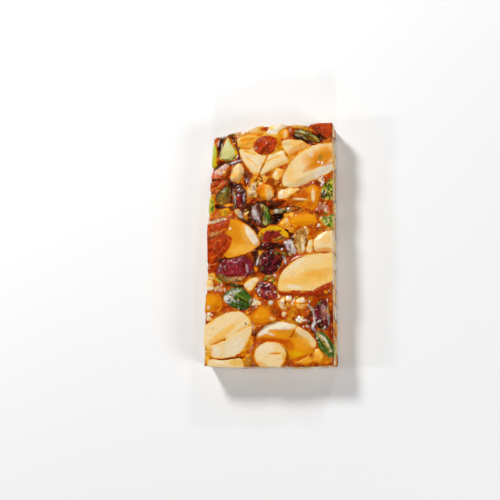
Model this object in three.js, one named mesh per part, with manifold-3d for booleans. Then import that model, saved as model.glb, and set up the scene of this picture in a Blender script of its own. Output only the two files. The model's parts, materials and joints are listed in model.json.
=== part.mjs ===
// A bar of gajak, a brittle of almonds, cashews and pistachios set in boiled amber sugar, lying flat.
// Units are millimetres. X runs across the bar, Y along it, and Z up from the face that it lies on.
// The sugar is one slab with a pocket for each nut, and each nut is a solid of its own in its pocket.
import * as THREE from "three";
import { mergeVertices } from "three/addons/utils/BufferGeometryUtils.js";
import Module from "manifold-3d";

// Driving dimensions.
const HALF_WIDTH = 23; // the bar across, at its widest, is twice this
const SUGAR_TOP = 9.2; // mean height of the sugar between the nuts
const NUT_TOP = 9.9; // mean height of the nuts' tops, pressed level by a roller
const NUT_DEPTH = 5; // how thick a nut is, unless it says otherwise
const GAP = 0.24; // clear space between a nut and its pocket
const CORNER_STEP = 0.18; // a cut corner is taken off at this share of each side that meets it
const FOOT_SHARE = 0.86; // a nut's underside is this much of its outline
const EDGE_DROP = 0.8; // the rounded edge of a nut's top
const EGG_SIDES = 14;
const GRID = { across: 14, along: 27, up: 3 }; // facets of the slab
const WALL_INSET = 0.3; // the sugar shrinks back this far from the knife's cut

// How far each cut edge lies from the middle, as [place along the edge, distance].
const LEFT = [[-43, 22.8], [-36, 23], [-25, 23], [-14, 22.5], [6, 22.8], [20, 22.1], [30, 21.7], [43, 21.3]];
const RIGHT = [[-43, 22.9], [-39, 23], [-16, 22.4], [1, 22.2], [29, 22], [43, 21.8]];
const HEAD = [[-23, 39.6], [-18.5, 40.2], [-15, 41.4], [-9, 41.2], [-6, 42.6], [3, 43], [10, 42.6], [13, 42],
  [14.5, 42.8], [23, 42.7]];
const FOOT = [[-23, 42.6], [-12, 43], [0, 42.7], [12, 43], [23, 42.4]];

// Hollows and swells of the sugar: [x, y, radius, height], where a hollow's height is negative.
const SWELLS = [[-18.6, 34.6, 1.7, -1.8], [-14.2, 38.3, 1.4, -1.4], [-18.6, 30.2, 1.5, -1.2],
  [-8.6, 25.4, 1.9, -1.5], [-12.4, 21.6, 1.6, -1], [2.3, 8.8, 2.2, -1.9], [-6.5, 5.9, 1.5, -1.2],
  [16, 38.9, 1.8, -1.2], [-5.2, 0.2, 1.4, -1.2], [9.4, -24.6, 2.4, -0.9], [3.4, -10.9, 1.5, -1],
  [9.5, 15.4, 4.5, 0.7], [15.6, 13.2, 3, 0.5], [7.4, -1.6, 2.2, 0.5], [-17.4, 40.2, 2, 0.6],
  [-14.4, -21.8, 3, 0.3], [16, 4.4, 2.4, 0.3], [-7.2, -37.6, 1.6, -0.7], [9.2, -39.6, 1.6, -0.8]];

const FINISHES = {
  sugar: { color: 0xa8480e, roughness: 0.16 },
  cream: { color: 0xe9cf9b, roughness: 0.34 },
  amber: { color: 0xdf960f, roughness: 0.22 },
  skin: { color: 0xb02d12, roughness: 0.4 },
  purple: { color: 0x5a1a26, roughness: 0.24 },
  green: { color: 0x6f8526, roughness: 0.28 },
};

// An egg outline: middle, half length, half width, the turn of its long axis in degrees, and how pointed it is.
function egg(x, y, halfLength, halfWidth, turn = 0, point = 0) {
  const axis = THREE.MathUtils.degToRad(turn);
  return Array.from({ length: EGG_SIDES }, (_, i) => {
    const angle = (2 * Math.PI * i) / EGG_SIDES;
    const along = halfLength * Math.cos(angle);
    const across = halfWidth * Math.sin(angle) * (1 - point * Math.cos(angle));
    return new THREE.Vector2(along, across).rotateAround(new THREE.Vector2(), axis).add(new THREE.Vector2(x, y));
  });
}

// A chopped piece's outline: its corners as x, y, x, y and so on, each cut off once so that none is sharp.
function chopped(...places) {
  const corners = [];
  for (let i = 0; i < places.length; i += 2) corners.push(new THREE.Vector2(places[i], places[i + 1]));
  if (THREE.ShapeUtils.area(corners) < 0) corners.reverse();
  return corners.flatMap((corner, i) => {
    const next = corners[(i + 1) % corners.length];
    return [corner.clone().lerp(next, CORNER_STEP), corner.clone().lerp(next, 1 - CORNER_STEP)];
  });
}

// The same outline moved outwards by a distance, along the line that halves each corner.
function grown(outline, distance) {
  return outline.map((corner, i) => {
    const before = outline[(i + outline.length - 1) % outline.length];
    const after = outline[(i + 1) % outline.length];
    const into = corner.clone().sub(before).normalize();
    const out = after.clone().sub(corner).normalize();
    const normal = new THREE.Vector2(into.y + out.y, -into.x - out.x).normalize();
    const lean = Math.max(normal.dot(new THREE.Vector2(into.y, -into.x)), 0.5);
    return corner.clone().addScaledVector(normal, distance / lean);
  });
}

function middleOf(outline) {
  return outline.reduce((sum, corner) => sum.add(corner), new THREE.Vector2()).divideScalar(outline.length);
}

// A closed skin over rings of equal count, from the lowest ring to the highest, each a list of Vector3.
function skinned(rings, lowest, highest) {
  const count = rings[0].length;
  const points = [lowest, ...rings.flat(), highest];
  const faces = [];
  for (let i = 0; i < count; i++) {
    const j = (i + 1) % count;
    faces.push(0, 1 + j, 1 + i);
    for (let ring = 0; ring < rings.length - 1; ring++) {
      const low = 1 + ring * count;
      faces.push(low + i, low + j, low + count + j, low + i, low + count + j, low + count + i);
    }
    faces.push(points.length - 1, points.length - 1 - count + i, points.length - 1 - count + j);
  }
  return new THREE.BufferGeometry().setFromPoints(points).setIndex(faces);
}

// Levels of a nut as [share of the outline, height]; the tilt leans them all.
function lofted(outline, levels, tilt, lowest, highest) {
  const middle = middleOf(outline);
  const lean = (x, y) => tilt[0] * (x - middle.x) + tilt[1] * (y - middle.y);
  const rings = levels.map(([share, height]) => outline.map((corner) => {
    const place = middle.clone().lerp(corner, share);
    return new THREE.Vector3(place.x, place.y, height + lean(place.x, place.y));
  }));
  return skinned(rings, new THREE.Vector3(middle.x, middle.y, lowest),
    new THREE.Vector3(middle.x, middle.y, highest));
}

const wasm = await Module();
wasm.setup();

function solid(geometry) {
  for (const name of ["normal", "uv"]) geometry.deleteAttribute(name);
  const merged = mergeVertices(geometry);
  return new wasm.Manifold(new wasm.Mesh({
    numProp: 3,
    vertProperties: merged.attributes.position.array,
    triVerts: new Uint32Array(merged.index.array),
  }));
}

function geometryOf(made) {
  const { vertProperties, triVerts } = made.getMesh();
  const geometry = new THREE.BufferGeometry();
  geometry.setAttribute("position", new THREE.BufferAttribute(vertProperties, 3));
  geometry.setIndex(new THREE.BufferAttribute(triVerts, 1));
  const faceted = geometry.toNonIndexed();
  faceted.computeVertexNormals();
  return faceted;
}

function largest(made) {
  return made.decompose().reduce((best, piece) => (piece.volume() > best.volume() ? piece : best));
}

// Straight lines between the listed distances along one cut edge.
function edgeAt(knots, place) {
  const next = Math.min(Math.max(knots.findIndex(([at]) => at > place), 1), knots.length - 1);
  const [from, to] = place >= knots.at(-1)[0] ? knots.slice(-2) : [knots[next - 1], knots[next]];
  return THREE.MathUtils.mapLinear(place, from[0], to[0], from[1], to[1]);
}

// The point of the bar's outline plan at shares u across and v along, moved in by an inset.
function planPoint(u, v, inset = 0) {
  const acrossShare = THREE.MathUtils.lerp(-HALF_WIDTH, HALF_WIDTH, u);
  const y = THREE.MathUtils.lerp(-edgeAt(FOOT, acrossShare) + inset, edgeAt(HEAD, acrossShare) - inset, v);
  const x = THREE.MathUtils.lerp(-edgeAt(LEFT, y) + inset, edgeAt(RIGHT, y) - inset, u);
  return new THREE.Vector2(x, y);
}

// The shares [u, v] once round the edge of the slab's grid, against the clock.
function rimShares() {
  const { across, along } = GRID;
  const foot = Array.from({ length: across }, (_, i) => [i / across, 0]);
  const right = Array.from({ length: along }, (_, i) => [1, i / along]);
  const head = foot.map(([u]) => [1 - u, 1]);
  const left = right.map(([, v]) => [0, 1 - v]);
  return [...foot, ...right, ...head, ...left];
}

// The sugar's surface: slow waves, with the listed hollows and swells as round bumps on them.
function sugarHeight(x, y) {
  const waves = 0.16 * Math.sin(0.52 * x + 0.9) * Math.cos(0.41 * y) + 0.1 * Math.sin(0.9 * y + 0.37 * x);
  const bumps = SWELLS.map(([cx, cy, radius, height]) =>
    height * Math.exp(-((x - cx) ** 2 + (y - cy) ** 2) / radius ** 2));
  return SUGAR_TOP + waves + bumps.reduce((sum, bump) => sum + bump, 0);
}

// The slab: a grid over the top, a wall of a few rows whose middle bulges a little, and a flat underside.
function slabGeometry() {
  const { across, along, up } = GRID;
  const points = [];
  const faces = [];
  const topIndex = (i, j) => j * (across + 1) + i;
  for (let j = 0; j <= along; j++) {
    for (let i = 0; i <= across; i++) {
      const onRim = i === 0 || j === 0 || i === across || j === along;
      const place = planPoint(i / across, j / along, onRim ? WALL_INSET + 0.35 : WALL_INSET);
      points.push(new THREE.Vector3(place.x, place.y, sugarHeight(place.x, place.y) - (onRim ? 0.35 : 0)));
    }
  }
  for (let j = 0; j < along; j++) {
    for (let i = 0; i < across; i++) {
      const [a, b, c, d] = [topIndex(i, j), topIndex(i + 1, j), topIndex(i + 1, j + 1), topIndex(i, j + 1)];
      faces.push(a, b, c, a, c, d);
    }
  }
  const rim = rimShares();
  let above = rim.map(([u, v]) => topIndex(Math.round(u * across), Math.round(v * along)));
  for (let row = 1; row <= up; row++) {
    const first = points.length;
    rim.forEach(([u, v], i) => {
      const ripple = 0.16 * Math.sin(1.9 * i + 2.4 * row);
      const place = planPoint(u, v, WALL_INSET + ripple);
      const share = row / up;
      points.push(new THREE.Vector3(place.x, place.y, (sugarHeight(place.x, place.y) - 0.9) * (1 - share)));
    });
    const below = rim.map((_, i) => first + i);
    rim.forEach((_, i) => {
      const j = (i + 1) % rim.length;
      faces.push(below[i], below[j], above[j], below[i], above[j], above[i]);
    });
    above = below;
  }
  const middle = points.length;
  points.push(new THREE.Vector3());
  above.forEach((corner, i) => faces.push(middle, above[(i + 1) % above.length], corner));
  return new THREE.BufferGeometry().setFromPoints(points).setIndex(faces);
}

// The block that the knife leaves: everything inside the outline plan, over any height.
function knifeBlock() {
  const plan = new THREE.Shape(rimShares().map(([u, v]) => planPoint(u, v)));
  const block = new THREE.ExtrudeGeometry(plan, { depth: 30, bevelEnabled: false });
  return solid(block.translate(0, 0, -10));
}

// Each nut: name, finish, outline, and what differs from the usual top, crown, depth and tilt.
const NUTS = [
  ["almond_skin_left", "skin", chopped(-24, 7.9, -21, 8.9, -16.4, 10, -14.6, 8.9, -15.4, 5.6, -16.2, 3.9, -13.5,
    2.3, -14, 0, -16, -2.6, -20, -6.8, -24, -6), { top: 10, crown: 0.3, depth: 7, tilt: [0.02, 0] }],
  ["almond_gold_left", "amber", chopped(-16.6, 9.6, -11.6, 8.7, -8.6, 7.5, -5.2, 4.5, -3.3, 0.6, -5.1, -1.5, -8.8,
    -3.4, -16.4, -5, -15, 2), { crown: 0.35, depth: 6, tilt: [-0.02, 0.01] }],
  ["almond_half_right", "cream", chopped(3, -15.4, 3.6, -11.8, 4.9, -9.4, 8.9, -5.7, 13.8, -3.9, 24.5, -3.2, 24.5,
    -13.2, 17.8, -16.5, 10, -17.4, 3.8, -16.8), { top: 10, crown: 0.3, depth: 7, tilt: [0.01, 0] }],
  ["almond_half_upper", "cream", chopped(4, 20.8, 4.2, 24, 6.6, 29, 10.5, 33, 15.6, 35.2, 24.5, 35.4, 24.5, 27.4,
    19, 24, 14, 21.8, 9, 19.8), { crown: 0.35, depth: 6.5, tilt: [0.012, 0.01] }],
  ["cashew_big_foot", "cream", chopped(-24.5, -29.2, -18.8, -25.5, -13.8, -23.6, -9.4, -23.6, -6.3, -26.2, -5.4,
    -30.4, -8.2, -36, -10.6, -38.8, -16.4, -40.1, -20.3, -39.4, -21, -36, -24.5, -34.9), { top: 10, crown: 0.3,
    depth: 7 }],
  ["cashew_round_foot", "cream", egg(0.8, -38.9, 5.7, 4.7, 0), { top: 9.9, crown: 0.4, depth: 6 }],
  ["cashew_half_foot", "cream", chopped(-5.4, -33.4, -3.6, -30.3, -1.2, -28.1, 3.8, -26.8, 10.4, -28.8, 14.3, -31.1,
    17, -34.2, 16.5, -36.2, 13.6, -39.4, 10.2, -41.1, 7.4, -39.8, 2, -36), { crown: 0.35, depth: 5.5, tilt: [0,
    0.02] }],
  ["pistachio_purple_left", "purple", egg(-12.5, -8.6, 7.1, 4.9, 13), { top: 9.5, crown: 0.9, depth: 6 }],
  ["pistachio_green_foot", "green", chopped(-16.8, -19.4, -15.4, -16.4, -12.6, -15, -9, -15.2, -5.4, -19.2, -6.4,
    -22.2, -9, -23.4, -13.6, -22.2), { crown: 0.5, tilt: [0.02, 0.03] }],
  ["pistachio_fan", "green", chopped(-16.2, 39.6, -14.6, 36.2, -12, 33.6, -12.8, 31, -16, 30.1, -19.6, 31.6, -17.8,
    35.4), { crown: 0.2, tilt: [0.03, -0.02] }],
  ["pistachio_edge_head", "green", chopped(-24, 28.2, -19.9, 28.4, -19.8, 33, -20.3, 36.8, -24, 36.6), { top: 9.6,
    depth: 6 }],
  ["almond_amber_head", "amber", chopped(-12.9, 38.7, -12.2, 35.1, -6.6, 34.5, -6.2, 37.4, -4.9, 39.4, -9.5, 39.7),
    { tilt: [0.01, 0.03] }],
  ["cashew_tan_head", "cream", chopped(-8.7, 39.8, -5, 39.1, -3.2, 39.4, -2.5, 40.6, -3.4, 44.5, -8.4, 44.5), { top:
    9.7, depth: 6.5 }],
  ["cashew_white_head", "cream", chopped(-2.9, 40, -1.4, 39.3, 1.9, 39, 2.6, 40.8, 5.8, 41.9, 5.8, 44.8, -0.8, 44.8,
    -0.9, 41.8), { top: 9.8, depth: 6.5 }],
  ["almond_amber_chip_head", "amber", chopped(2.5, 38, 2.7, 39.8, 3.8, 41.2, 5.9, 41.3, 6.1, 37.8), { top: 9.8,
    depth: 4 }],
  ["almond_skin_head", "skin", chopped(-6.7, 35.6, -5.4, 37.7, -4, 38.7, -0.6, 38.7, 1.5, 38.3, 1.9, 35.6, 1.2,
    33.1, -2.4, 32.2, -5.4, 33), { top: 10, crown: 0.5, depth: 5.5 }],
  ["cashew_block_left", "cream", chopped(-12.1, 35.1, -6, 34.4, -1.4, 32.4, -2.6, 29.6, -4.6, 24.9, -6.2, 24.7,
    -8.7, 28, -11, 31.2), { crown: 0.3, tilt: [0, 0.015] }],
  ["cashew_block_middle", "cream", chopped(-0.6, 32.3, 4.4, 33.8, 5.2, 31.6, 6.7, 29.3, 1.6, 27.4, -3.4, 24.6, -4.2,
    25.6, -2.2, 29.2), { crown: 0.3, tilt: [0.01, 0.02] }],
  ["almond_mauve_left", "skin", chopped(-24, 24.4, -24, 28.6, -20.6, 29.4, -17.6, 30, -14.7, 28.7, -15.5, 26.4,
    -18.9, 24), { top: 9.8, depth: 6.5, tilt: [0.02, 0] }],
  ["cashew_pointed_left", "cream", chopped(-15.3, 24.5, -14.4, 27, -12.7, 28.9, -10.7, 30, -9.7, 26.8, -10.6, 23.6,
    -13.3, 21.8), { crown: 0.3, tilt: [0.02, -0.02] }],
  ["almond_skin_strip_left", "skin", chopped(-24, 19.2, -24, 22.3, -19, 23.7, -15.4, 24, -16.2, 22.1, -18.8, 20), {
    top: 9.7, depth: 6 }],
  ["pistachio_olive_left", "green", chopped(-20.1, 16.2, -19.4, 18.8, -16.9, 21.2, -14.8, 21.6, -14.5, 18, -15,
    14.9, -18.6, 14.5), { top: 9.4, crown: 0.5 }],
  ["almond_mustard_left", "amber", chopped(-19.4, 10.7, -18.2, 13.3, -14.6, 13.3, -13.7, 11, -16.4, 10.1), { top:
    9.5, depth: 4 }],
  ["pistachio_maroon_upper", "purple", egg(-11.4, 17, 4, 2.5, 84), { top: 9.2, crown: 0.7 }],
  ["pistachio_green_middle", "green", egg(-3.4, 10.4, 4.8, 3.7, 115), { top: 9.2, crown: 0.8 }],
  ["cashew_chip_upper", "cream", chopped(-9.3, 17.6, -8.9, 20.7, -6.4, 23.4, -4.8, 23.6, -4.8, 19, -5.5, 16.4, -7.8,
    16.6), { top: 9.6, depth: 4, tilt: [0.05, 0] }],
  ["cashew_chip_middle", "cream", chopped(-4.7, 19.3, -4.5, 21.8, -2.4, 21.6, 0.9, 20.7, 1.3, 16.5, -0.6, 15, -2.6,
    16, -4, 17.6), { top: 9.6, depth: 4, tilt: [-0.03, 0.02] }],
  ["cashew_chip_right", "cream", chopped(0.2, 23.4, 0.3, 25.4, 2.4, 27.4, 4.9, 26.6, 4, 23.8, 2.4, 22.6), { top:
    9.7, depth: 4 }],
  ["cashew_wedge_upper", "cream", chopped(2.3, 15.9, 2.1, 18.4, 3.4, 19.5, 12.2, 21, 8.8, 18, 6, 16.3), { top: 9.7,
    depth: 4, tilt: [0, 0.04] }],
  ["almond_tan_upper", "amber", chopped(3.5, 36.9, 6.6, 37.5, 10.8, 36.9, 13.3, 35, 8.9, 31.1, 5.6, 31.9, 4.1,
    34.4), { tilt: [0.02, 0.03] }],
  ["pistachio_olive_head", "green", chopped(7.8, 38.8, 8.2, 40.8, 11, 41.1, 14.6, 39.5, 17.6, 36.8, 18, 35.4, 15.4,
    35.8, 12, 37.2, 9, 38), { top: 9.5, crown: 0.7 }],
  ["almond_skin_corner", "skin", chopped(14, 44.5, 24, 44.5, 24, 40, 20, 37, 17.2, 38.9, 13.4, 41.4), { crown: 0.3,
    depth: 6.5 }],
  ["pistachio_edge_right", "green", chopped(17.4, 15, 18.3, 19.8, 21, 22.6, 24, 23.6, 24, 15.1), { top: 9.6, depth:
    6 }],
  ["almond_amber_right", "amber", chopped(6.6, 7, 7.6, 9, 10, 10.4, 12.6, 10.6, 15.6, 9.8, 16.9, 7.6, 14.4, 6.6,
    9.6, 6.2), { tilt: [0, 0.02] }],
  ["almond_shard_right", "cream", chopped(8, 1.2, 8.3, 3.6, 10.4, 5, 13, 6.5, 13.7, 4.7, 13.2, 0.4, 12.5, -3.1, 11,
    -4.4, 9.5, -1.6), { top: 10, depth: 4 }],
  ["cashew_slab_right", "cream", chopped(15.6, -3.1, 15.4, 1.2, 17.6, 3.2, 20.4, 4.2, 24, 4.6, 24, -3.1), { depth: 7
    }],
  ["cashew_chip_edge_right", "cream", chopped(12.7, -3.2, 12.6, 0.4, 13.9, 1.5, 15.7, 1.1, 16, -1, 15.4, -3.4), {
    top: 9.8, depth: 4 }],
  ["pistachio_yellow_middle", "green", chopped(-4.5, 3.5, -3.1, 5.7, 0.2, 6.8, 3.7, 6.2, 6.4, 3.8, 6.9, 1.6, 4.6,
    1.2, -1.3, 0.5, -4.1, 1.5), { top: 9.5, crown: 0.5 }],
  ["pistachio_maroon_middle", "purple", egg(0.2, -6.2, 4.7, 4.1, 60), { top: 9.2, crown: 0.8 }],
  ["pistachio_purple_lower", "purple", chopped(-5.1, -15.6, -3.7, -12.7, 0.6, -13.5, 2.8, -15.4, 2.9, -19.4, -1.5,
    -19.5, -4.3, -17.8), { top: 9.4, crown: 0.6 }],
  ["cashew_chip_lower", "cream", chopped(-4.4, -10.7, -3.2, -11.8, -5.6, -16, -8.4, -16.7, -9.9, -14.9, -7.6,
    -12.4), { top: 9.6, depth: 4, tilt: [0.03, 0] }],
  ["cashew_edge_left", "cream", chopped(-24, -16.2, -24, -11.6, -20.3, -12.8, -19.8, -15.9), { top: 9.7 }],
  ["almond_amber_edge_left", "amber", chopped(-24, -24, -24, -17.2, -17.6, -17.6, -16.6, -21, -17.4, -23), { top:
    9.7, depth: 6 }],
  ["almond_amber_foot", "amber", chopped(-6.8, -25.6, -4.9, -23.3, -2.8, -21.5, 0.1, -22.5, 1.3, -25.2, 3, -26.5,
    0.6, -27.9, -3.6, -29, -5.7, -28.1), { tilt: [0.02, 0] }],
  ["cashew_crushed_left", "cream", chopped(2.8, -20.2, 4.7, -19.3, 5.7, -17.7, 8.5, -18.1, 8.4, -20.4, 6.5, -21.2,
    6, -23.1, 4.3, -23.3), { top: 9.7, depth: 4 }],
  ["cashew_crushed_right", "cream", chopped(8.8, -19.4, 10.4, -18.5, 12.7, -18.7, 14, -20.6, 13.1, -22.7, 10.4,
    -23.1, 8.6, -21.6), { top: 9.6, depth: 4 }],
  ["pistachio_purple_right", "purple", egg(18.9, -25, 5.6, 2.9, 94), { top: 9.4, crown: 0.7 }],
  ["pistachio_green_corner", "green", egg(19.8, -35, 5.4, 2.4, -56), { top: 9.5, crown: 0.6 }],
  ["almond_chip_foot_right", "amber", chopped(15.4, -38.6, 17.1, -36.1, 19.3, -37.6, 19, -40.3, 15.8, -40.9), { top:
    9.5, depth: 4 }],
  ["cashew_strip_foot_left", "cream", chopped(-21.6, -39.9, -15, -40.4, -9.2, -39.4, -8.4, -44.5, -21.6, -44.5), {
    top: 9.5, depth: 6 }],
  ["cashew_grey_left", "cream", chopped(-13.9, 12.4, -12.6, 13.4, -9, 12.9, -7.4, 11.6, -7.7, 9.1, -10, 8.4, -11.6,
    9.6), { top: 9.4, depth: 4 }],
  ["pistachio_strip_upper", "green", chopped(0.7, 10.7, 0.9, 12.5, 5, 13, 10.2, 13.2, 10.4, 11.8, 5, 10.9), { top:
    9.4, depth: 4, crown: 0.4 }],
  ["almond_glazed_upper", "amber", chopped(6.2, 14.4, 8, 16.4, 11, 18.4, 15, 20.8, 17, 19.4, 17.4, 15, 16.2, 11.6,
    13.4, 12.6), { top: 9.6, crown: 0.5 }],
  ["pistachio_chip_right", "green", chopped(17.9, 6.4, 18.5, 9.3, 21, 10, 24, 10.4, 24, 4.9, 21, 5.6), { top: 9.6,
    depth: 6 }],
  ["pistachio_crumbs_left", "green", chopped(-24, 11.6, -24, 17.9, -21, 17.4, -20, 14.6, -21, 11.2), { top: 9.5,
    depth: 6 }],
  ["cashew_strip_head", "cream", chopped(6.9, 41.6, 7.2, 44, 13, 44, 12.8, 41.4, 10, 41.4), { top: 9.6, depth: 6 }],
];

// The nut itself: a rounded top that leans by its tilt, walls that draw in downwards, and a flat underside.
function nutSolid(outline, { top = NUT_TOP, crown = 0.25, depth = NUT_DEPTH, tilt = [0, 0] }) {
  const levels = [[FOOT_SHARE, top - depth], [1, top - EDGE_DROP], [0.87, top + crown * 0.25]];
  return solid(lofted(outline, levels, tilt, top - depth, top + crown));
}

// What a nut keeps free: its outline grown by the gap, from under it to above the bar.
function nutPocket(outline, { top = NUT_TOP, depth = NUT_DEPTH, tilt = [0, 0] }) {
  const wide = grown(outline, GAP * 1.25);
  const [floor, ceiling] = [top - depth - GAP, top + 4];
  return solid(lofted(wide, [[1, floor], [1, ceiling]], tilt, floor, ceiling));
}

// Crumbs of chopped nut in the gaps, as [x, y, radius].
const CRUMBS = [[5.1, 8.1, 1.1], [5.6, 9.9, 0.8], [7.6, 4.9, 0.9], [8.4, -2.4, 1.1], [7, 0.2, 1], [10.7, -26.5, 1.2],
  [0.8, -20.6, 0.9], [5.3, -24.5, 0.7], [-21.7, -8.6, 0.9], [-20.8, -10.6, 0.9], [-2.2, 23.6, 0.9], [-12.4, 40.1, 0.9],
  [18.6, 12.6, 0.9], [20.8, 12, 0.9], [17.6, 22.6, 0.7], [-18.4, -15, 0.9], [-3.8, -20.6, 0.9], [13.6, -24, 0.9],
  [14.4, -27.6, 0.8], [9.6, -40, 0.9], [2.6, -11.8, 0.8], [-1.2, -12.2, 0.9], [-7.2, -37.6, 0.8], [-21.4, -26, 0.7]];

// Each crumb is a flattened icosahedron, turned by its number in the list and half sunk in the sugar.
function crumbSolids() {
  return CRUMBS.map(([x, y, radius], i) => {
    const shape = new THREE.IcosahedronGeometry(radius, 0);
    shape.applyMatrix4(new THREE.Matrix4().makeRotationFromEuler(new THREE.Euler(1.7 * i, 2.3 * i, 0.9 * i)));
    shape.scale(1.2, 1, 0.6).translate(x, y, sugarHeight(x, y));
    return solid(shape);
  });
}

const bar = new THREE.Group();

function add(name, finish, made) {
  const material = new THREE.MeshStandardMaterial({ ...FINISHES[finish], metalness: 0 });
  const mesh = new THREE.Mesh(geometryOf(made), material);
  mesh.name = name;
  bar.add(mesh);
}

const block = knifeBlock();
const pockets = [];
for (const [name, finish, outline, shape] of NUTS) {
  const clear = pockets.length ? nutSolid(outline, shape).subtract(wasm.Manifold.union(pockets))
    : nutSolid(outline, shape);
  add(name, finish, largest(clear.intersect(block)));
  pockets.push(nutPocket(outline, shape));
}
const slab = wasm.Manifold.union([solid(slabGeometry()), ...crumbSolids()]);
add("sugar_slab", "sugar", largest(slab.subtract(wasm.Manifold.union(pockets)).simplify(0.02)));

export default bar;
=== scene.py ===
# %% [markdown]
# # A bar of gajak
#
# Gajak is a brittle: almonds, cashews and pistachios stirred into boiling sugar, rolled level and cut with a
# knife. The bar lies flat with its shown face up. Its nuts are cream, amber, green and purple, and the sugar
# between them runs from gold where it is thin to nearly black where it is deep.
#
# The solids come from the frame: one slab of sugar, and a solid for each nut. This lesson gives each of them a
# fine surface in its place. Lengths are in millimetres, and become metres only when a mesh is made.

# %% Load the frame
import json
import math
from itertools import product

import bpy
import numpy as np
from mathutils import Matrix, Vector


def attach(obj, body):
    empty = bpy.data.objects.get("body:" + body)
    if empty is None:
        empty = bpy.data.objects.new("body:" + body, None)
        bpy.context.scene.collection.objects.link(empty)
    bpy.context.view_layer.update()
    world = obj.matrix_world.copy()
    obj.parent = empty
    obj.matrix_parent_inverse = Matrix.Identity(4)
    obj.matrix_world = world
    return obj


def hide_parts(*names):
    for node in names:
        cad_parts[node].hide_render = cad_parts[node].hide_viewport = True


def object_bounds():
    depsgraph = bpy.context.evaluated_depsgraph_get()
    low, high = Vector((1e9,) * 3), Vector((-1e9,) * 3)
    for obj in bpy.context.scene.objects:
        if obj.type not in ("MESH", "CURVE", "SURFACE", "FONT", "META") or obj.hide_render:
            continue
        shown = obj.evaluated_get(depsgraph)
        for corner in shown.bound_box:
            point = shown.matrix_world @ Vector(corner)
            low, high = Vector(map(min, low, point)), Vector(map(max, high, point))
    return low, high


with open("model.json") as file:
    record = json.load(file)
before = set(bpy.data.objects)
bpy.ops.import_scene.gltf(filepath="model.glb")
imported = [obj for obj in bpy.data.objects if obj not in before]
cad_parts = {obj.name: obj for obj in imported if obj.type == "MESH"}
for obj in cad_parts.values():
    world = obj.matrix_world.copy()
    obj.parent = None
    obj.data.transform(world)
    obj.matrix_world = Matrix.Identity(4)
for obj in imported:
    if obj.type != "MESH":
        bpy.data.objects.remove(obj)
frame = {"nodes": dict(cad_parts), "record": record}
CAD_BOX = [list(corner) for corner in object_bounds()]
MM = 0.001
SLAB = "sugar_slab"
NUTS = sorted(name for name in frame["nodes"] if name != SLAB)
print(len(NUTS), "nuts in the frame, box", CAD_BOX)

# %% [markdown]
# ## The camera
#
# In the photograph the bar faces the lens, seen a little from its right and from its foot. Here it lies down, so
# the camera looks down on it from the same side: `YAW` and `TILT` lean it away from straight above, and `ROLL`
# turns the picture. It looks at `AIM` from a `DISTANCE`, through a lens on a sensor. The photograph is 500 pixels
# wide, and `SCALE` is how many of them one millimetre takes.

# %% Camera
PHOTO_WIDTH = 500
SCALE = 2.86
SENSOR = 36
DISTANCE = 420
AIM = Vector((-7, -2, 10))
YAW, TILT, ROLL = math.radians(13.5), math.radians(10), math.radians(1.15)

back = Vector((math.sin(YAW), -math.sin(TILT), 0))
back.z = math.sqrt(1 - back.length_squared)
flat_right = Vector((0, 1, 0)).cross(back).normalized()
flat_up = back.cross(flat_right)
right = math.cos(ROLL) * flat_right + math.sin(ROLL) * flat_up
up = math.cos(ROLL) * flat_up - math.sin(ROLL) * flat_right

camera_data = bpy.data.cameras.new("camera")
camera_data.sensor_width = SENSOR
camera_data.lens = SCALE * DISTANCE / PHOTO_WIDTH * SENSOR
camera = bpy.data.objects.new("camera", camera_data)
facing = Matrix((right, up, back)).transposed().to_4x4()
camera.matrix_world = Matrix.Translation((AIM + DISTANCE * back) * MM) @ facing
bpy.context.scene.collection.objects.link(camera)
bpy.context.scene.camera = camera
print("lens", round(camera_data.lens, 1), "mm at", [round(v, 3) for v in camera.matrix_world.translation])

# %% [markdown]
# ## Names for the colours
#
# Every colour in the bar gets a plain name once, chosen against the photograph. Blender works in linear
# light, so each one is turned from the screen's scale into the linear one.

# %% Palette
# The whitest colour is used for painted glints and lit tops; grey and lilac mostly paint sheen and glints.
PALETTE_HEX = {
    "glint_white": "F4F0EA", "ivory": "EBDCC2", "cream": "EACD98", "butter": "EEC67A", "tan": "CFA468", "straw": "EEB548",
    "honey": "E5981C", "amber": "D27E06", "marigold": "E6960A", "ember": "BE4E04", "rust": "8E3004",
    "umber": "4C1E06", "soot": "1C0903", "brick": "AE2E06", "scarlet": "C44004", "rose": "C48470",
    "plum": "741A28", "maroon": "3E0810", "wine": "94202C", "lilac": "C2B2B8", "grey": "D8D2CC",
    "leaf": "4C6E1E", "lime": "AEBF35", "pear": "CBC67E", "olive": "7C7020", "moss": "28420E",
    "mustard": "DEAA06", "bronze": "96641C", "bark": "641804",
}


def linear(hex_text):
    """Screen to linear light: below a small toe a straight line, and above it a power of 2.4."""
    screen = np.array([int(hex_text[i:i + 2], 16) / 255 for i in (0, 2, 4)])
    return np.where(screen <= 0.04045, screen / 12.92, ((screen + 0.055) / 1.055) ** 2.4)


COLOURS = {name: linear(text) for name, text in PALETTE_HEX.items()}
print(len(COLOURS), "named colours")

# %% [markdown]
# ## Lumps
#
# Nothing in a brittle is smooth at every scale. Value noise gives lumps of a chosen size: a random number sits at
# each corner of a lattice, and a smooth blend of the eight corners round a point fills the space between. It is
# worked out for a whole array of points at once.

# %% Lumps
HASH = np.array([127.1, 311.7, 74.7])
SEED_STEP, HASH_SCALE = 19.19, 43758.5453


def smoothstep(low, high, value):
    """0 below low, 1 above high, and 3t^2 - 2t^3 between, with t the share of the way."""
    t = np.clip((value - low) / (high - low), 0, 1)
    return t * t * (3 - 2 * t)


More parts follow.
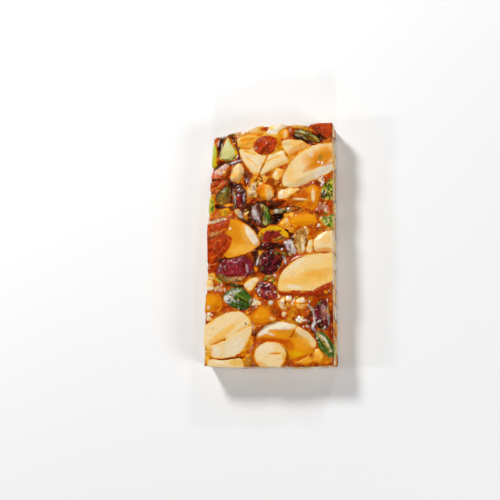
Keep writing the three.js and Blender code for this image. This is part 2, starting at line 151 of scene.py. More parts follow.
def lumps(places, size, seed=0):
    """Noise from -1 to 1 with lumps of about the given size, at places of shape (..., 3).

    The number at a corner is the fraction left of a large multiple of a sine of its place.
    """
    scaled = places / size
    base = np.floor(scaled)
    share = smoothstep(0, 1, scaled - base)
    total = np.zeros(places.shape[:-1])
    for corner in product((0, 1), repeat=3):
        chance = np.modf(np.abs(np.sin((base + corner) @ HASH + SEED_STEP * seed)) * HASH_SCALE)[0]
        total += chance * np.prod(np.where(corner, share, 1 - share), axis=-1)
    return 2 * total - 1


def crags(places, size, seed=0):
    """Three sizes of lumps added, each half as large and half as high as the one before."""
    return sum(lumps(places, size / 2 ** k, seed + k) / 2 ** k for k in range(3)) / 1.75


print("lumps from", lumps(np.random.default_rng(1).uniform(0, 50, (1000, 3)), 2.0).min().round(2))

# %% [markdown]
# ## Reading the solids
#
# The frame's solids say where each nut is and how it was cut. A nut's outline is read as a distance from its
# middle in every direction: a ray is crossed with all of the mesh's edges in plan, and the furthest crossing is
# the outline. A level plane is laid through the faces that look up, by least squares.

# %% Reading the solids
TURNS = 180
ANGLES = np.arange(TURNS) * 2 * np.pi / TURNS
RAYS = np.stack([np.cos(ANGLES), np.sin(ANGLES)], -1)
UPWARD = 0.85
HAIR = 1e-6


def mesh_arrays(name):
    """The vertices, in millimetres, and the triangles of a node."""
    mesh = frame["nodes"][name].data
    places = np.empty(len(mesh.vertices) * 3)
    mesh.vertices.foreach_get("co", places)
    corners = np.empty(len(mesh.polygons) * 3, int)
    mesh.polygons.foreach_get("vertices", corners)
    return places.reshape(-1, 3) / MM, corners.reshape(-1, 3)


def cross2(a, b):
    """The cross product of vectors in the plan."""
    return a[..., 0] * b[..., 1] - a[..., 1] * b[..., 0]


def reaches(starts, ends, middle, rays):
    """How far each ray from the middle runs to its last crossing with the segments: r = (a-c)x(b-a) / d x(b-a)."""
    run = (ends - starts)[None]
    offset = (starts - middle)[None]
    with np.errstate(divide="ignore", invalid="ignore"):
        reach = cross2(offset, run) / cross2(rays[:, None], run)
        share = cross2(offset, rays[:, None]) / cross2(rays[:, None], run)
    reach = np.where((share >= -HAIR) & (share <= 1 + HAIR) & np.isfinite(reach), reach, 0)
    return reach.max(axis=1)


def read_nut(name):
    """A nut's middle, outline radii, level plane (z = a + b x + c y), crown and underside."""
    places, corners = mesh_arrays(name)
    triangles = places[corners]
    normals = np.cross(triangles[:, 1] - triangles[:, 0], triangles[:, 2] - triangles[:, 0])
    areas = np.linalg.norm(normals, axis=1)
    upward = normals[:, 2] > UPWARD * areas
    centres, weights = triangles[upward].mean(axis=1), areas[upward]
    middle = (centres[:, :2] * weights[:, None]).sum(0) / weights.sum()
    sides = np.stack([np.ones(upward.sum()), *centres[:, :2].T], -1) * np.sqrt(weights)[:, None]
    plane = np.linalg.lstsq(sides, centres[:, 2] * np.sqrt(weights), rcond=None)[0]
    edges = np.concatenate([corners[:, [0, 1]], corners[:, [1, 2]], corners[:, [2, 0]]])
    radii = reaches(places[edges[:, 0], :2], places[edges[:, 1], :2], middle, RAYS)
    return {"middle": middle, "radii": radii, "plane": plane, "low": places[:, 2].min()}


READ = {name: read_nut(name) for name in NUTS}
print("largest reach", {n: round(float(r["radii"].max()), 1) for n, r in list(READ.items())[:4]})

# %% [markdown]
# ## The knife's outline
#
# The four cut faces wander a little, because brittle cracks as it is cut. Their places are read from the slab: a
# line across the bar is crossed with the slab's edges, and its two last crossings are the cut faces there. The
# slab's walls lie `WALL_INSET` behind the knife's plane, which the cut nuts reach.

# %% The knife's outline
WALL_INSET = 0.14
SIDE_MARGIN, END_MARGIN = 4.5, 2.2
FACE_STEPS = 90
slab_places, slab_corners = mesh_arrays(SLAB)
slab_edges = np.concatenate([slab_corners[:, [0, 1]], slab_corners[:, [1, 2]]])
slab_low, slab_high = slab_places.min(0), slab_places.max(0)


def cut_face(axis, sign, margin):
    """Places along one cut face, short of its ends by a margin, and how far out the slab reaches at each."""
    other = 1 - axis
    along = np.linspace(slab_low[other] + margin, slab_high[other] - margin, FACE_STEPS)
    a, b = slab_places[slab_edges[:, 0]], slab_places[slab_edges[:, 1]]
    with np.errstate(divide="ignore", invalid="ignore"):
        share = (along[:, None] - a[None, :, other]) / (b - a)[None, :, other]
    crossing = a[None, :, axis] + share * (b - a)[None, :, axis]
    crossing = np.where((share >= 0) & (share <= 1), crossing * sign, -np.inf)
    return along, crossing.max(axis=1)


FACES = {"left": cut_face(0, -1, SIDE_MARGIN), "right": cut_face(0, 1, SIDE_MARGIN),
         "head": cut_face(1, 1, END_MARGIN), "foot": cut_face(1, -1, END_MARGIN)}


def face_at(side, along):
    """The knife's plane: its distance from the middle of the bar on that side."""
    return np.interp(along, *FACES[side]) + WALL_INSET


def inside_knife(x, y):
    """How far a place lies inside the nearest cut face."""
    return np.minimum.reduce([x + face_at("left", y), face_at("right", y) - x,
                              face_at("head", x) - y, y + face_at("foot", x)])


print("bar at its middle:", round(float(face_at("left", 0) + face_at("right", 0)), 1), "mm across")

# %% [markdown]
# ## Brush strokes
#
# On the real bar a nut is never one colour: sugar pools on part of it, a cut leaves a pale facet, and a skin
# clings to one edge. Each of these is a soft elliptical stroke of a named colour, placed in bar millimetres. Its
# edge is frayed by lumps, so that no ellipse shows. Other strokes paint sheen, glints and shade instead.

# %% Brush strokes
STROKE_FRAY = 0.3
STROKE_EDGE = 0.42


def stroke_mask(places, x, y, half_length, half_width, turn):
    """1 inside the ellipse and 0 outside: the scaled distance from its middle, with lumps added, set against 1."""
    c, s = math.cos(math.radians(turn)), math.sin(math.radians(turn))
    dx, dy = places[..., 0] - x, places[..., 1] - y
    scaled = np.hypot((c * dx + s * dy) / half_length, (c * dy - s * dx) / half_width)
    near = scaled < 2
    mask = np.zeros(scaled.shape)
    frayed = scaled[near] + STROKE_FRAY * crags(places[near], 1.5, seed=int(abs(x * 7 + y * 13)))
    mask[near] = 1 - smoothstep(1 - STROKE_EDGE, 1 + STROKE_EDGE, frayed)
    return mask


def paint(tint, places, strokes, broken=0.0):
    """Lays the strokes over a tint in turn, each with gaps worn into it where it is broken."""
    gaps = 1 - broken * smoothstep(-0.1, 0.35, crags(places, 0.9, seed=27))
    for colour, x, y, half_length, half_width, turn, strength in strokes:
        mask = gaps * np.minimum(strength * stroke_mask(places, x, y, half_length, half_width, turn), 1)
        tint = tint + (COLOURS[colour] - tint) * mask[..., None]
    return tint


print("strokes fray by", STROKE_FRAY)

# %% [markdown]
# ## Sugar as a filter
#
# Boiled sugar takes most of the blue, much of the green and at last the red, so over a pale nut it goes from gold
# through orange and brown to nearly black. The ramp gives its colour for a depth in millimetres. The same sugar
# lies as a thin glaze on the nuts, where it multiplies their own colour.

# %% Sugar as a filter
DEPTHS = [0.0, 0.3, 0.8, 1.5, 2.4, 3.6, 6.0]
SUGAR_STOPS = ["cream", "straw", "marigold", "ember", "rust", "umber", "soot"]


def sugar_colour(depth):
    """The ramp's colour at each depth, read between its stops one channel at a time."""
    stops = np.array([COLOURS[name] for name in SUGAR_STOPS])
    return np.stack([np.interp(depth, DEPTHS, stops[:, channel]) for channel in range(3)], -1)


def glazed(tint, depth):
    """A tint seen through sugar: multiplied by the ramp's colour over the ramp's colour at no depth."""
    return tint * sugar_colour(depth) / COLOURS["cream"]


print("sugar 1 mm deep over cream:", sugar_colour(np.array(1.0)).round(3))

# %% [markdown]
# ## What each almond looks like
#
# One row a nut: its kind, its own colour, and the strokes over it. A stroke is a colour, a place x and y, a half
# length and half width, a turn in degrees and a strength. The kind is the surface: `flesh` is a kernel without
# its skin, `chip` a chopped bit, `skin` an almond's wrinkled skin, and `kernel` a whole pistachio. An image could
# be wrapped over the bar instead, but strokes stay crisp from close by and can be moved one at a time. Small white
# dots and most grey and lilac strokes are painted glints and painted sheen.

# %% Looks of the almonds
LOOKS = {
    "almond_half_right": ("flesh", "butter", [
        ("cream", 8, -9.5, 4.5, 3, 30, 0.6), ("cream", 14, -6.4, 6, 1.8, 10, 0.6),
        # Its two ivory strokes are painted sheen and a painted highlight.
        ("ivory", 9, -7.8, 4, 1.3, 38, 0.5), ("straw", 8, -13.4, 5, 1.4, 0, 0.6),
        ("straw", 15.6, -12, 6, 2.2, 0, 0.7), ("marigold", 17.6, -10.6, 4.6, 1.5, 8, 0.45),
        ("ivory", 8.8, -15.2, 3, 0.7, -8, 0.8), ("brick", 10, -17.1, 7.4, 0.5, -1, 1.5),
        ("brick", 19.6, -15.1, 4.8, 0.5, 24, 1.5)]),
    "almond_half_upper": ("flesh", "cream", [
        ("straw", 6.4, 26.6, 1.6, 3.6, 10, 0.5), ("straw", 9, 22.4, 3, 1, 0, 0.4),
        ("honey", 13.8, 29, 2.2, 3.2, 40, 0.5), ("marigold", 18.4, 31, 5, 3.2, 25, 0.9),
        ("amber", 18.4, 30, 4.2, 2.2, 25, 0.9), ("amber", 15.4, 27.6, 3.6, 1.2, 28, 0.9),
        ("ember", 20.4, 27.6, 2.4, 0.6, 20, 0.6), ("olive", 17.6, 30.2, 0.8, 0.9, 0, 0.7),
        ("grey", 14.2, 31.6, 0.6, 1.2, 30, 0.5), ("ivory", 18.4, 25.3, 5.2, 1.3, 25, 1.5),
        # The two small white dots are painted glints.
        ("cream", 13.4, 23.2, 2.4, 0.8, 20, 0.8), ("glint_white", 17, 28.7, 0.4, 0.3, 0, 1.2),
        ("glint_white", 18.3, 28.4, 0.25, 0.4, 0, 1.2)]),
    "almond_amber_head": ("flesh", "straw", [
        ("marigold", -9, 37.8, 3.2, 0.7, 4, 0.8), ("honey", -9.4, 36.4, 2.6, 0.7, 10, 0.6),
        ("cream", -12, 38, 0.7, 1.2, 0, 0.7), ("amber", -8, 38.3, 2, 0.5, 0, 0.6)]),
    "almond_amber_chip_head": ("flesh", "marigold", [
        ("cream", 5, 39.6, 0.6, 1.6, 0, 0.8), ("straw", 4, 40.6, 1.4, 0.5, 0, 0.6),
        ("amber", 3.2, 38.6, 0.6, 1.2, 0, 0.6)]),
    "almond_skin_head": ("skin", "scarlet", [
        ("brick", -3.6, 36.4, 3, 0.6, 50, 0.6), ("brick", -0.4, 35.4, 2.6, 0.5, 50, 0.7),
        ("bark", -2.6, 34.2, 2.6, 0.4, 44, 0.7), ("lilac", -5.6, 34.6, 0.6, 0.6, 0, 0.7),
        ("ember", -1, 37.4, 1.6, 0.5, 20, 0.6)]),
    "almond_mauve_left": ("chip", "rose", [
        # Its lilac stroke is painted sheen.
        ("lilac", -17.4, 28.3, 2.2, 0.8, 16, 0.7), ("tan", -18.4, 26.4, 1.8, 0.9, -30, 0.7),
        ("brick", -21.3, 26.2, 0.7, 2.4, 0, 1.3), ("scarlet", -19.2, 24.7, 2.8, 0.6, -10, 1.3),
        ("wine", -20.4, 28.6, 0.9, 0.5, 20, 0.5), ("ember", -16.2, 25.8, 1.2, 0.4, 40, 0.7)]),
    "almond_skin_strip_left": ("skin", "scarlet", [
        ("rose", -17.8, 22, 2, 0.4, 35, 0.8), ("brick", -20.4, 22.4, 1.8, 0.6, 10, 0.7)]),
    "almond_mustard_left": ("chip", "bronze", [
        ("mustard", -16.2, 12.3, 2.2, 0.8, 8, 1.2), ("olive", -17.8, 11, 1.8, 0.6, 10, 0.8),
        ("lime", -19, 12.3, 0.8, 0.6, 0, 0.9), ("tan", -15.2, 11.4, 0.8, 0.5, 0, 0.7),
        ("umber", -17, 10.4, 1.4, 0.3, 6, 0.6)]),
    "almond_tan_upper": ("flesh", "cream", [
        ("tan", 6, 35.8, 1.6, 0.8, 0, 0.5), ("straw", 9, 35.4, 2.4, 1.2, -10, 0.7),
        ("honey", 8.6, 33.2, 3, 1.4, 25, 0.7), ("amber", 8.4, 32.2, 2.6, 0.6, 25, 0.8),
        ("honey", 11.4, 35.2, 1.6, 0.8, 0, 0.8)]),
    "almond_skin_corner": ("skin", "scarlet", [
        ("brick", 18.6, 40, 3, 0.8, -30, 0.8), ("maroon", 16.4, 39.8, 3, 0.5, -42, 0.8),
        ("umber", 15.4, 41.8, 1.4, 0.5, -30, 0.6)]),
    "almond_amber_right": ("flesh", "marigold", [
        ("honey", 11, 9.4, 3, 0.8, 0, 0.6), ("amber", 12, 7, 4.4, 0.7, 0, 0.8)]),
    "almond_shard_right": ("chip", "tan", [
        ("bronze", 9.8, 2.4, 1.2, 2.6, -20, 0.7), ("bronze", 11.8, 4.4, 1, 1.6, 20, 0.5),
        ("umber", 8.8, 0.2, 0.5, 1.6, -20, 0.6), ("olive", 10.7, 0, 0.3, 3.6, 4, 0.7),
        ("ivory", 11.9, -1.6, 0.4, 1.8, 8, 1.0), ("umber", 13, 1.2, 0.25, 2.6, 4, 0.6)]),
    "almond_amber_edge_left": ("flesh", "amber", [
        ("marigold", -21, -19.6, 2, 1.6, 0, 0.8), ("ember", -18.2, -22.2, 1.6, 0.8, 0, 0.6),
        ("ivory", -21.6, -22, 0.5, 0.7, 0, 0.6)]),
    "almond_amber_foot": ("flesh", "amber", [
        ("marigold", -2.4, -24.6, 2.4, 1.6, 10, 0.8), ("straw", -4.2, -25.4, 0.6, 0.4, 0, 0.6),
        ("cream", 1.4, -26.4, 1.2, 0.5, -40, 0.7), ("ember", -3.6, -28, 2, 0.5, 0, 0.6)]),
    "almond_chip_foot_right": ("chip", "straw", [
        ("ivory", 16.6, -36.8, 0.7, 0.6, 0, 0.9), ("amber", 16.4, -39.4, 1.6, 0.8, 0, 0.7)]),
    "almond_glazed_upper": ("flesh", "amber", [
        ("ember", 10.4, 17, 4.6, 1.7, 12, 0.9), ("rust", 8.6, 14.6, 3, 0.7, 8, 0.7),
        ("marigold", 15, 19.2, 2.2, 1.4, 20, 0.9), ("cream", 10.6, 15.7, 2.6, 0.4, -6, 0.9),
        ("cream", 15.2, 16.9, 0.7, 2.2, 4, 1.0), ("ember", 14.2, 13.8, 1.2, 1, 0, 0.7)]),
    "almond_skin_left": ("skin", "scarlet", [
        ("ivory", -19, 8.9, 3.8, 0.75, 14, 1.4), ("honey", -19.6, 8, 3, 0.25, 14, 0.6),
        ("brick", -18.4, 6, 3, 0.5, 24, 0.5), ("tan", -19.8, 3.9, 2.2, 0.9, 14, 0.8),
        ("bronze", -20.4, 2.6, 1.6, 0.5, 20, 0.7), ("honey", -17.8, 4.6, 1.2, 0.3, 34, 0.6),
        ("rose", -19.4, 0.6, 2.2, 0.2, 48, 0.6), ("rose", -18, -1.4, 2, 0.2, 50, 0.5),
        ("ember", -16, 4.6, 0.5, 2, 20, 0.7), ("brick", -17.8, -0.6, 2.6, 1.2, 46, 0.5),
        ("bark", -18.4, -4.4, 2.8, 0.4, 50, 0.7)]),
    "almond_gold_left": ("flesh", "honey", [
        ("amber", -12.8, 4.6, 2.4, 4, 20, 0.7), ("straw", -9.4, -1.6, 4.4, 1.6, 12, 0.7),
        ("straw", -9, 4, 1.4, 3, 20, 0.4), ("ivory", -6.7, 3.3, 1.15, 3.9, 33, 1.6),
        ("tan", -4.8, 0.2, 0.6, 0.8, 0, 0.6), ("tan", -8.3, 1.2, 0.4, 2, 30, 0.5),
        # The small white dot is a painted glint.
        ("amber", -15, -3.6, 1.2, 1, 20, 0.5), ("glint_white", -14.3, 5.8, 0.35, 0.35, 0, 1.4)]),
}
print(len(LOOKS), "almonds and pieces of almond")

# %% [markdown]
# ## What each cashew looks like
#
# They are the palest pieces, cream where they are dry and straw or honey where sugar stands on them. A plain
# colour with a few strokes is enough for most of them, because their shape shows in the light.

# %% Looks of the cashews
LOOKS.update({
    "cashew_big_foot": ("flesh", "cream", [
        ("straw", -16.6, -31.8, 5.6, 1.3, 36, 0.85), ("honey", -17.4, -33.8, 2.6, 0.7, 26, 0.6),
        ("straw", -11, -27.4, 3.6, 0.8, 30, 0.3), ("ivory", -18, -37.6, 1.8, 1.8, 0, 0.8),
        ("ivory", -12, -35.6, 4, 2.4, 40, 0.6), ("honey", -20.4, -37.4, 0.7, 1.8, 0, 0.7),
        ("umber", -7.9, -27.9, 0.3, 0.45, 0, 0.9), ("tan", -19.7, -29.3, 0.35, 0.4, 0, 0.8)]),
    "cashew_round_foot": ("flesh", "cream", [
        ("ivory", -0.6, -36.6, 3, 1.8, 10, 0.5), ("straw", 3.6, -36.8, 2, 1.2, -30, 0.4),
        ("ember", 2.8, -38.3, 1.7, 0.22, 0, 0.7), ("mustard", 5.9, -39.6, 0.9, 2, 0, 0.7),
        ("honey", -3, -41.6, 3, 0.8, -20, 0.6)]),
    "cashew_half_foot": ("flesh", "amber", [
        ("marigold", 10, -36.6, 4.4, 3.4, -15, 0.6), ("mustard", 9.8, -38.4, 2.2, 1, -10, 0.7),
        ("honey", 3.8, -30, 7.6, 2.4, 0, 0.85), ("straw", 13.4, -32.6, 4.6, 2.2, -38, 0.8),
        ("honey", 11, -34.8, 3.4, 1.2, -38, 0.7), ("ember", 1.4, -33.7, 6, 0.9, -5, 1.1),
        ("ember", 7, -35, 2.2, 1.5, -40, 0.7), ("ember", 12, -39.6, 3.6, 0.8, 14, 0.8),
        ("ivory", 3.8, -28.5, 6.6, 1.4, 1, 1.2), ("ivory", -1.9, -30.6, 2.4, 0.9, 28, 1.2),
        ("ivory", 0.4, -31.3, 1.6, 0.4, -20, 0.8), ("cream", 12.4, -31.1, 4.2, 1.2, -34, 1.2),
        ("cream", 15.4, -34.2, 1.1, 1.9, 20, 0.85)]),
    "cashew_tan_head": ("flesh", "straw", [
        ("cream", -6.8, 41.4, 1.8, 0.9, 20, 0.8), ("marigold", -4.4, 39.9, 1.6, 0.5, 0, 0.7),
        ("scarlet", -3, 41.4, 1.2, 0.6, -5, 1.0), ("tan", -4, 42.6, 2, 0.3, 10, 0.6)]),
    "cashew_white_head": ("chip", "ivory", [
        ("grey", 0.2, 40.4, 2, 1, 20, 0.6), ("lilac", -1.2, 39.8, 1, 0.4, 0, 0.5),
        ("tan", 3.6, 42.6, 1.6, 0.3, -10, 0.6), ("cream", 3.4, 41.7, 1.4, 0.5, 10, 0.6)]),
    "cashew_block_left": ("flesh", "cream", [
        ("straw", -7, 33.9, 2.6, 0.5, -6, 0.5), ("ivory", -6, 29.6, 1.6, 2.2, 30, 0.5),
        ("honey", -5.4, 25.6, 0.9, 0.7, 0, 0.6)]),
    "cashew_block_middle": ("flesh", "cream", [
        ("ivory", 3.6, 32.8, 1.2, 0.6, 0, 0.8), ("honey", 0.6, 32.4, 0.8, 0.5, 0, 0.6),
        ("straw", 3.4, 28.8, 2.4, 0.5, 28, 0.6), ("tan", 5, 32, 0.25, 1, 20, 0.6)]),
    "cashew_pointed_left": ("chip", "cream", [
        ("honey", -12.7, 23.7, 1.1, 0.8, 40, 0.9), ("umber", -14.2, 26.6, 0.4, 0.8, 0, 0.5),
        ("tan", -11, 26.4, 0.5, 2, 0, 0.5)]),
    "cashew_chip_upper": ("chip", "tan", [
        ("cream", -7.8, 19.4, 0.7, 1.6, 10, 0.8), ("grey", -6, 21.4, 0.7, 1.8, -20, 0.7),
        ("olive", -7.2, 17.6, 0.9, 0.6, 0, 0.4), ("ember", -8.8, 17.8, 0.4, 0.8, 0, 0.6),
        ("ivory", -5.4, 17.4, 0.4, 0.5, 0, 0.9)]),
    "cashew_chip_middle": ("chip", "marigold", [
        ("cream", -0.7, 18.5, 1.0, 2.4, 8, 2.0), ("cream", -1.2, 20.9, 1.8, 0.5, -14, 0.9),
        ("tan", -0.4, 17.4, 0.5, 0.7, 0, 0.6), ("amber", -3.6, 19.6, 0.7, 1.6, 0, 0.8),
        ("ember", -2.6, 16.4, 1.2, 0.5, -30, 0.8), ("ember", -4.2, 17.8, 0.5, 0.8, 0, 0.6)]),
    "cashew_chip_right": ("chip", "butter", [
        ("ivory", 1.4, 25.4, 0.7, 1, 30, 0.8), ("honey", 3.4, 25.6, 0.9, 1.2, -30, 0.7)]),
    "cashew_wedge_upper": ("chip", "cream", [
        ("straw", 7, 18.6, 3, 0.6, 20, 0.6), ("ivory", 3.6, 17.4, 1, 1.2, 0, 0.6)]),
    "cashew_slab_right": ("flesh", "cream", [
        ("honey", 19.4, -2.3, 3, 0.6, 0, 0.8), ("straw", 20, 1, 1.6, 1.6, 0, 0.5),
        ("ivory", 17.4, 2, 1.4, 0.8, 20, 0.6)]),
    "cashew_chip_edge_right": ("chip", "cream", [
        ("ivory", 14, -0.4, 0.8, 1, 0, 0.6), ("honey", 15.2, -2.4, 0.8, 0.5, 0, 0.6)]),
    "cashew_chip_lower": ("chip", "cream", [
        ("grey", -6.6, -13.6, 0.6, 2.4, -38, 0.5), ("mustard", -5, -14.4, 0.5, 1.8, -30, 0.8)]),
    "cashew_edge_left": ("chip", "ivory", [("honey", -20.8, -14.4, 0.6, 0.8, 0, 0.5)]),
    # On the crushed bits the white strokes are painted light on their tops, and the honey and ember strokes below
    # and between them are glaze and painted shade together.
    "cashew_crushed_left": ("chip", "cream", [
        ("glint_white", 4.4, -20, 0.9, 0.9, 0, 1.4), ("glint_white", 6.8, -18.8, 1.3, 0.8, 20, 1.4),
        ("honey", 5, -22, 1.2, 0.6, 0, 0.9), ("ember", 4.4, -22.8, 1, 0.3, 0, 0.7),
        ("ember", 5.8, -20.6, 0.3, 1, -20, 0.8), ("honey", 7.8, -20.2, 0.9, 0.5, 0, 0.8)]),
    "cashew_crushed_right": ("chip", "straw", [
        ("glint_white", 11.2, -19.8, 1.6, 0.8, 0, 1.5), ("glint_white", 8.6, -19.4, 0.6, 0.6, 0, 1.0),
        ("marigold", 11.6, -21.8, 1.8, 0.8, 0, 0.9), ("honey", 9.2, -20.8, 0.6, 1, 0, 0.8),
        ("cream", 10.2, -21.4, 0.6, 0.5, 30, 0.9), ("ember", 11, -23, 1.6, 0.3, 0, 0.7),
        ("ember", 12.6, -20.6, 0.3, 0.9, 20, 0.6)]),
    "cashew_strip_foot_left": ("flesh", "cream", [
        ("mustard", -11.4, -41.2, 2.4, 1.2, 0, 0.7), ("ivory", -17.6, -41, 2, 0.6, 0, 0.5)]),
    "cashew_grey_left": ("chip", "umber", [
        # Its lilac and grey strokes are painted sheen.
        ("lilac", -11.6, 11.4, 2.4, 1.0, -52, 1.2), ("grey", -12.4, 12.2, 1, 0.5, -40, 0.7),
        ("honey", -8.9, 10.2, 0.7, 1.6, 10, 1.0), ("bark", -13, 9.8, 1, 1, -50, 0.6)]),
    "cashew_strip_head": ("chip", "tan", [("cream", 9, 42.2, 2, 0.4, 0, 0.6)]),
})
print(len(LOOKS), "looks so far")

# %% [markdown]
# ## What each pistachio looks like
#
# A pistachio is green inside and purple to brown outside. It splits as it is chopped and shows both at once, so
# its strokes put the two side by side.

